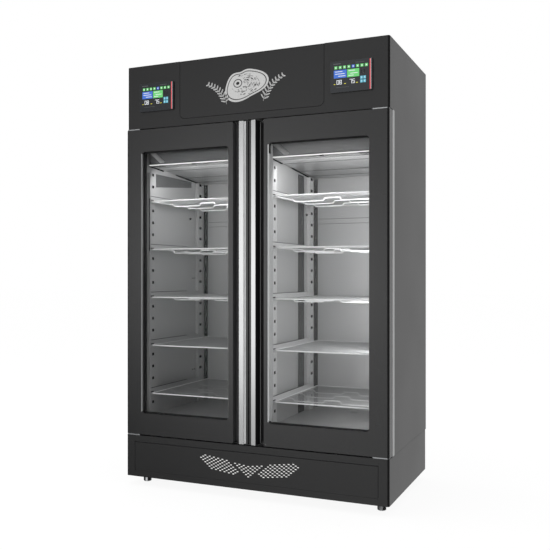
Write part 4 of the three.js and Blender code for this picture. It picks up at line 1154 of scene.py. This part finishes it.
# %% Printed picture
INK_LIFT = 0.12
PRINT_X, PRINT_Z, INK, CUT = -20, 1935, 0, 1
STEAK_TURN, STEAK_SIDES = 8, 64
STEAK_LAYERS = ((106, 76, INK), (97, 67, CUT), (93, 63, INK))
STEAK_LOBES, STEAK_NOTCH = ((0.08, 2, -0.6), (0.09, 3, 0.5)), (0.16, 1.75, 0.28)
BONE, BONE_TURN, BONE_SIDES, BONE_CLEAR = (-38, 8), 12, 32, 31
BONE_LAYERS = ((23, 20, CUT), (19, 16, INK), (9, 7, CUT))
FLECKS, FLECK_REACH, FLECK_SHARES = 170, (88, 58), (0.01, 0.72)
FLECK_LENGTHS, FLECK_WIDTHS, FLECK_LAYER = (3, 7), (0.5, 1.1), 6
SPRIGS, SPRIG_BEND = ((-100, -74, -22, 128, 9), (96, -76, 20, 134, 9)), 24
STEM_SHARE, LEAF_LENGTH, LEAF_TAPER, LEAF_TURN = 0.75, 15, 0.45, 52
LEAF_SHAPES = ((0.85, 3.1), (0.6, 0.5))


def printed(shape, x, z, half_x, half_z, turn=0.0, layer=0, tone=INK, sides=12, bend=None):
    disc = bmesh.ops.create_circle(shape, cap_ends=True, segments=sides, radius=1)["verts"]
    tilt = math.radians(turn)
    for corner in disc:
        across, up = corner.co.x, corner.co.y
        if bend:
            across, up = bend(across, up)
        across, up = across * half_x, up * half_z
        corner.co = at(
            PRINT_X + x + across * math.cos(tilt) - up * math.sin(tilt), -INK_LIFT * (layer + 1),
            PRINT_Z + z + across * math.sin(tilt) + up * math.cos(tilt),
        )
    paint_faces(shape, disc, tone)


def steak_outline(across, up):
    angle = math.atan2(up, across)
    reach = 1 + sum(size * math.cos(count * angle + shift) for size, count, shift in STEAK_LOBES)
    depth, middle, width = STEAK_NOTCH
    reach -= depth * math.exp(-((angle - middle) / width) ** 2)
    return across * reach, up * reach


def sprig(shape, x, z, lean, length, leaves):
    for i in range(leaves):
        share = i / (leaves - 1)
        turn = math.radians(lean + SPRIG_BEND * share * math.copysign(1, lean))
        here_x, here_z = x + length * share * math.sin(turn), z + length * share * math.cos(turn)
        across = math.degrees(-turn) + 90
        printed(shape, here_x, here_z, length / leaves * STEM_SHARE, 1.0, across, sides=8)
        for hand in (-1, 1):
            reach = LEAF_LENGTH * (1 - LEAF_TAPER * share)
            spread = across - hand * LEAF_TURN
            leaf_x = here_x + reach * math.cos(math.radians(spread))
            leaf_z = here_z + reach * math.sin(math.radians(spread))
            for (share_long, wide), look in zip(LEAF_SHAPES, ((0, INK, 12), (1, CUT, 6))):
                printed(shape, leaf_x, leaf_z, reach * share_long, wide, spread, *look)


picture = bmesh.new()
for layer, (half_x, half_z, tone) in enumerate(STEAK_LAYERS):
    printed(picture, 0, 0, half_x, half_z, STEAK_TURN, layer, tone, STEAK_SIDES, steak_outline)
for layer, (half_x, half_z, tone) in enumerate(BONE_LAYERS, 3):
    printed(picture, *BONE, half_x, half_z, BONE_TURN, layer, tone, BONE_SIDES)
draw = random.Random(11)
for i in range(FLECKS):
    angle = draw.uniform(0, 2 * math.pi)
    reach = math.sqrt(draw.uniform(*FLECK_SHARES))
    x, z = FLECK_REACH[0] * reach * math.cos(angle), FLECK_REACH[1] * reach * math.sin(angle)
    if math.hypot(x - BONE[0], z - BONE[1]) > BONE_CLEAR:
        tangent = FLECK_REACH[1] * math.cos(angle), -FLECK_REACH[0] * math.sin(angle)
        flow, length = math.degrees(math.atan2(*tangent)) + STEAK_TURN, draw.uniform(*FLECK_LENGTHS)
        printed(picture, x, z, length, draw.uniform(*FLECK_WIDTHS), flow, FLECK_LAYER, CUT, sides=8)
for place in SPRIGS:
    sprig(picture, *place)
keep("hatch_picture", picture, "hatch", [ink, paint])
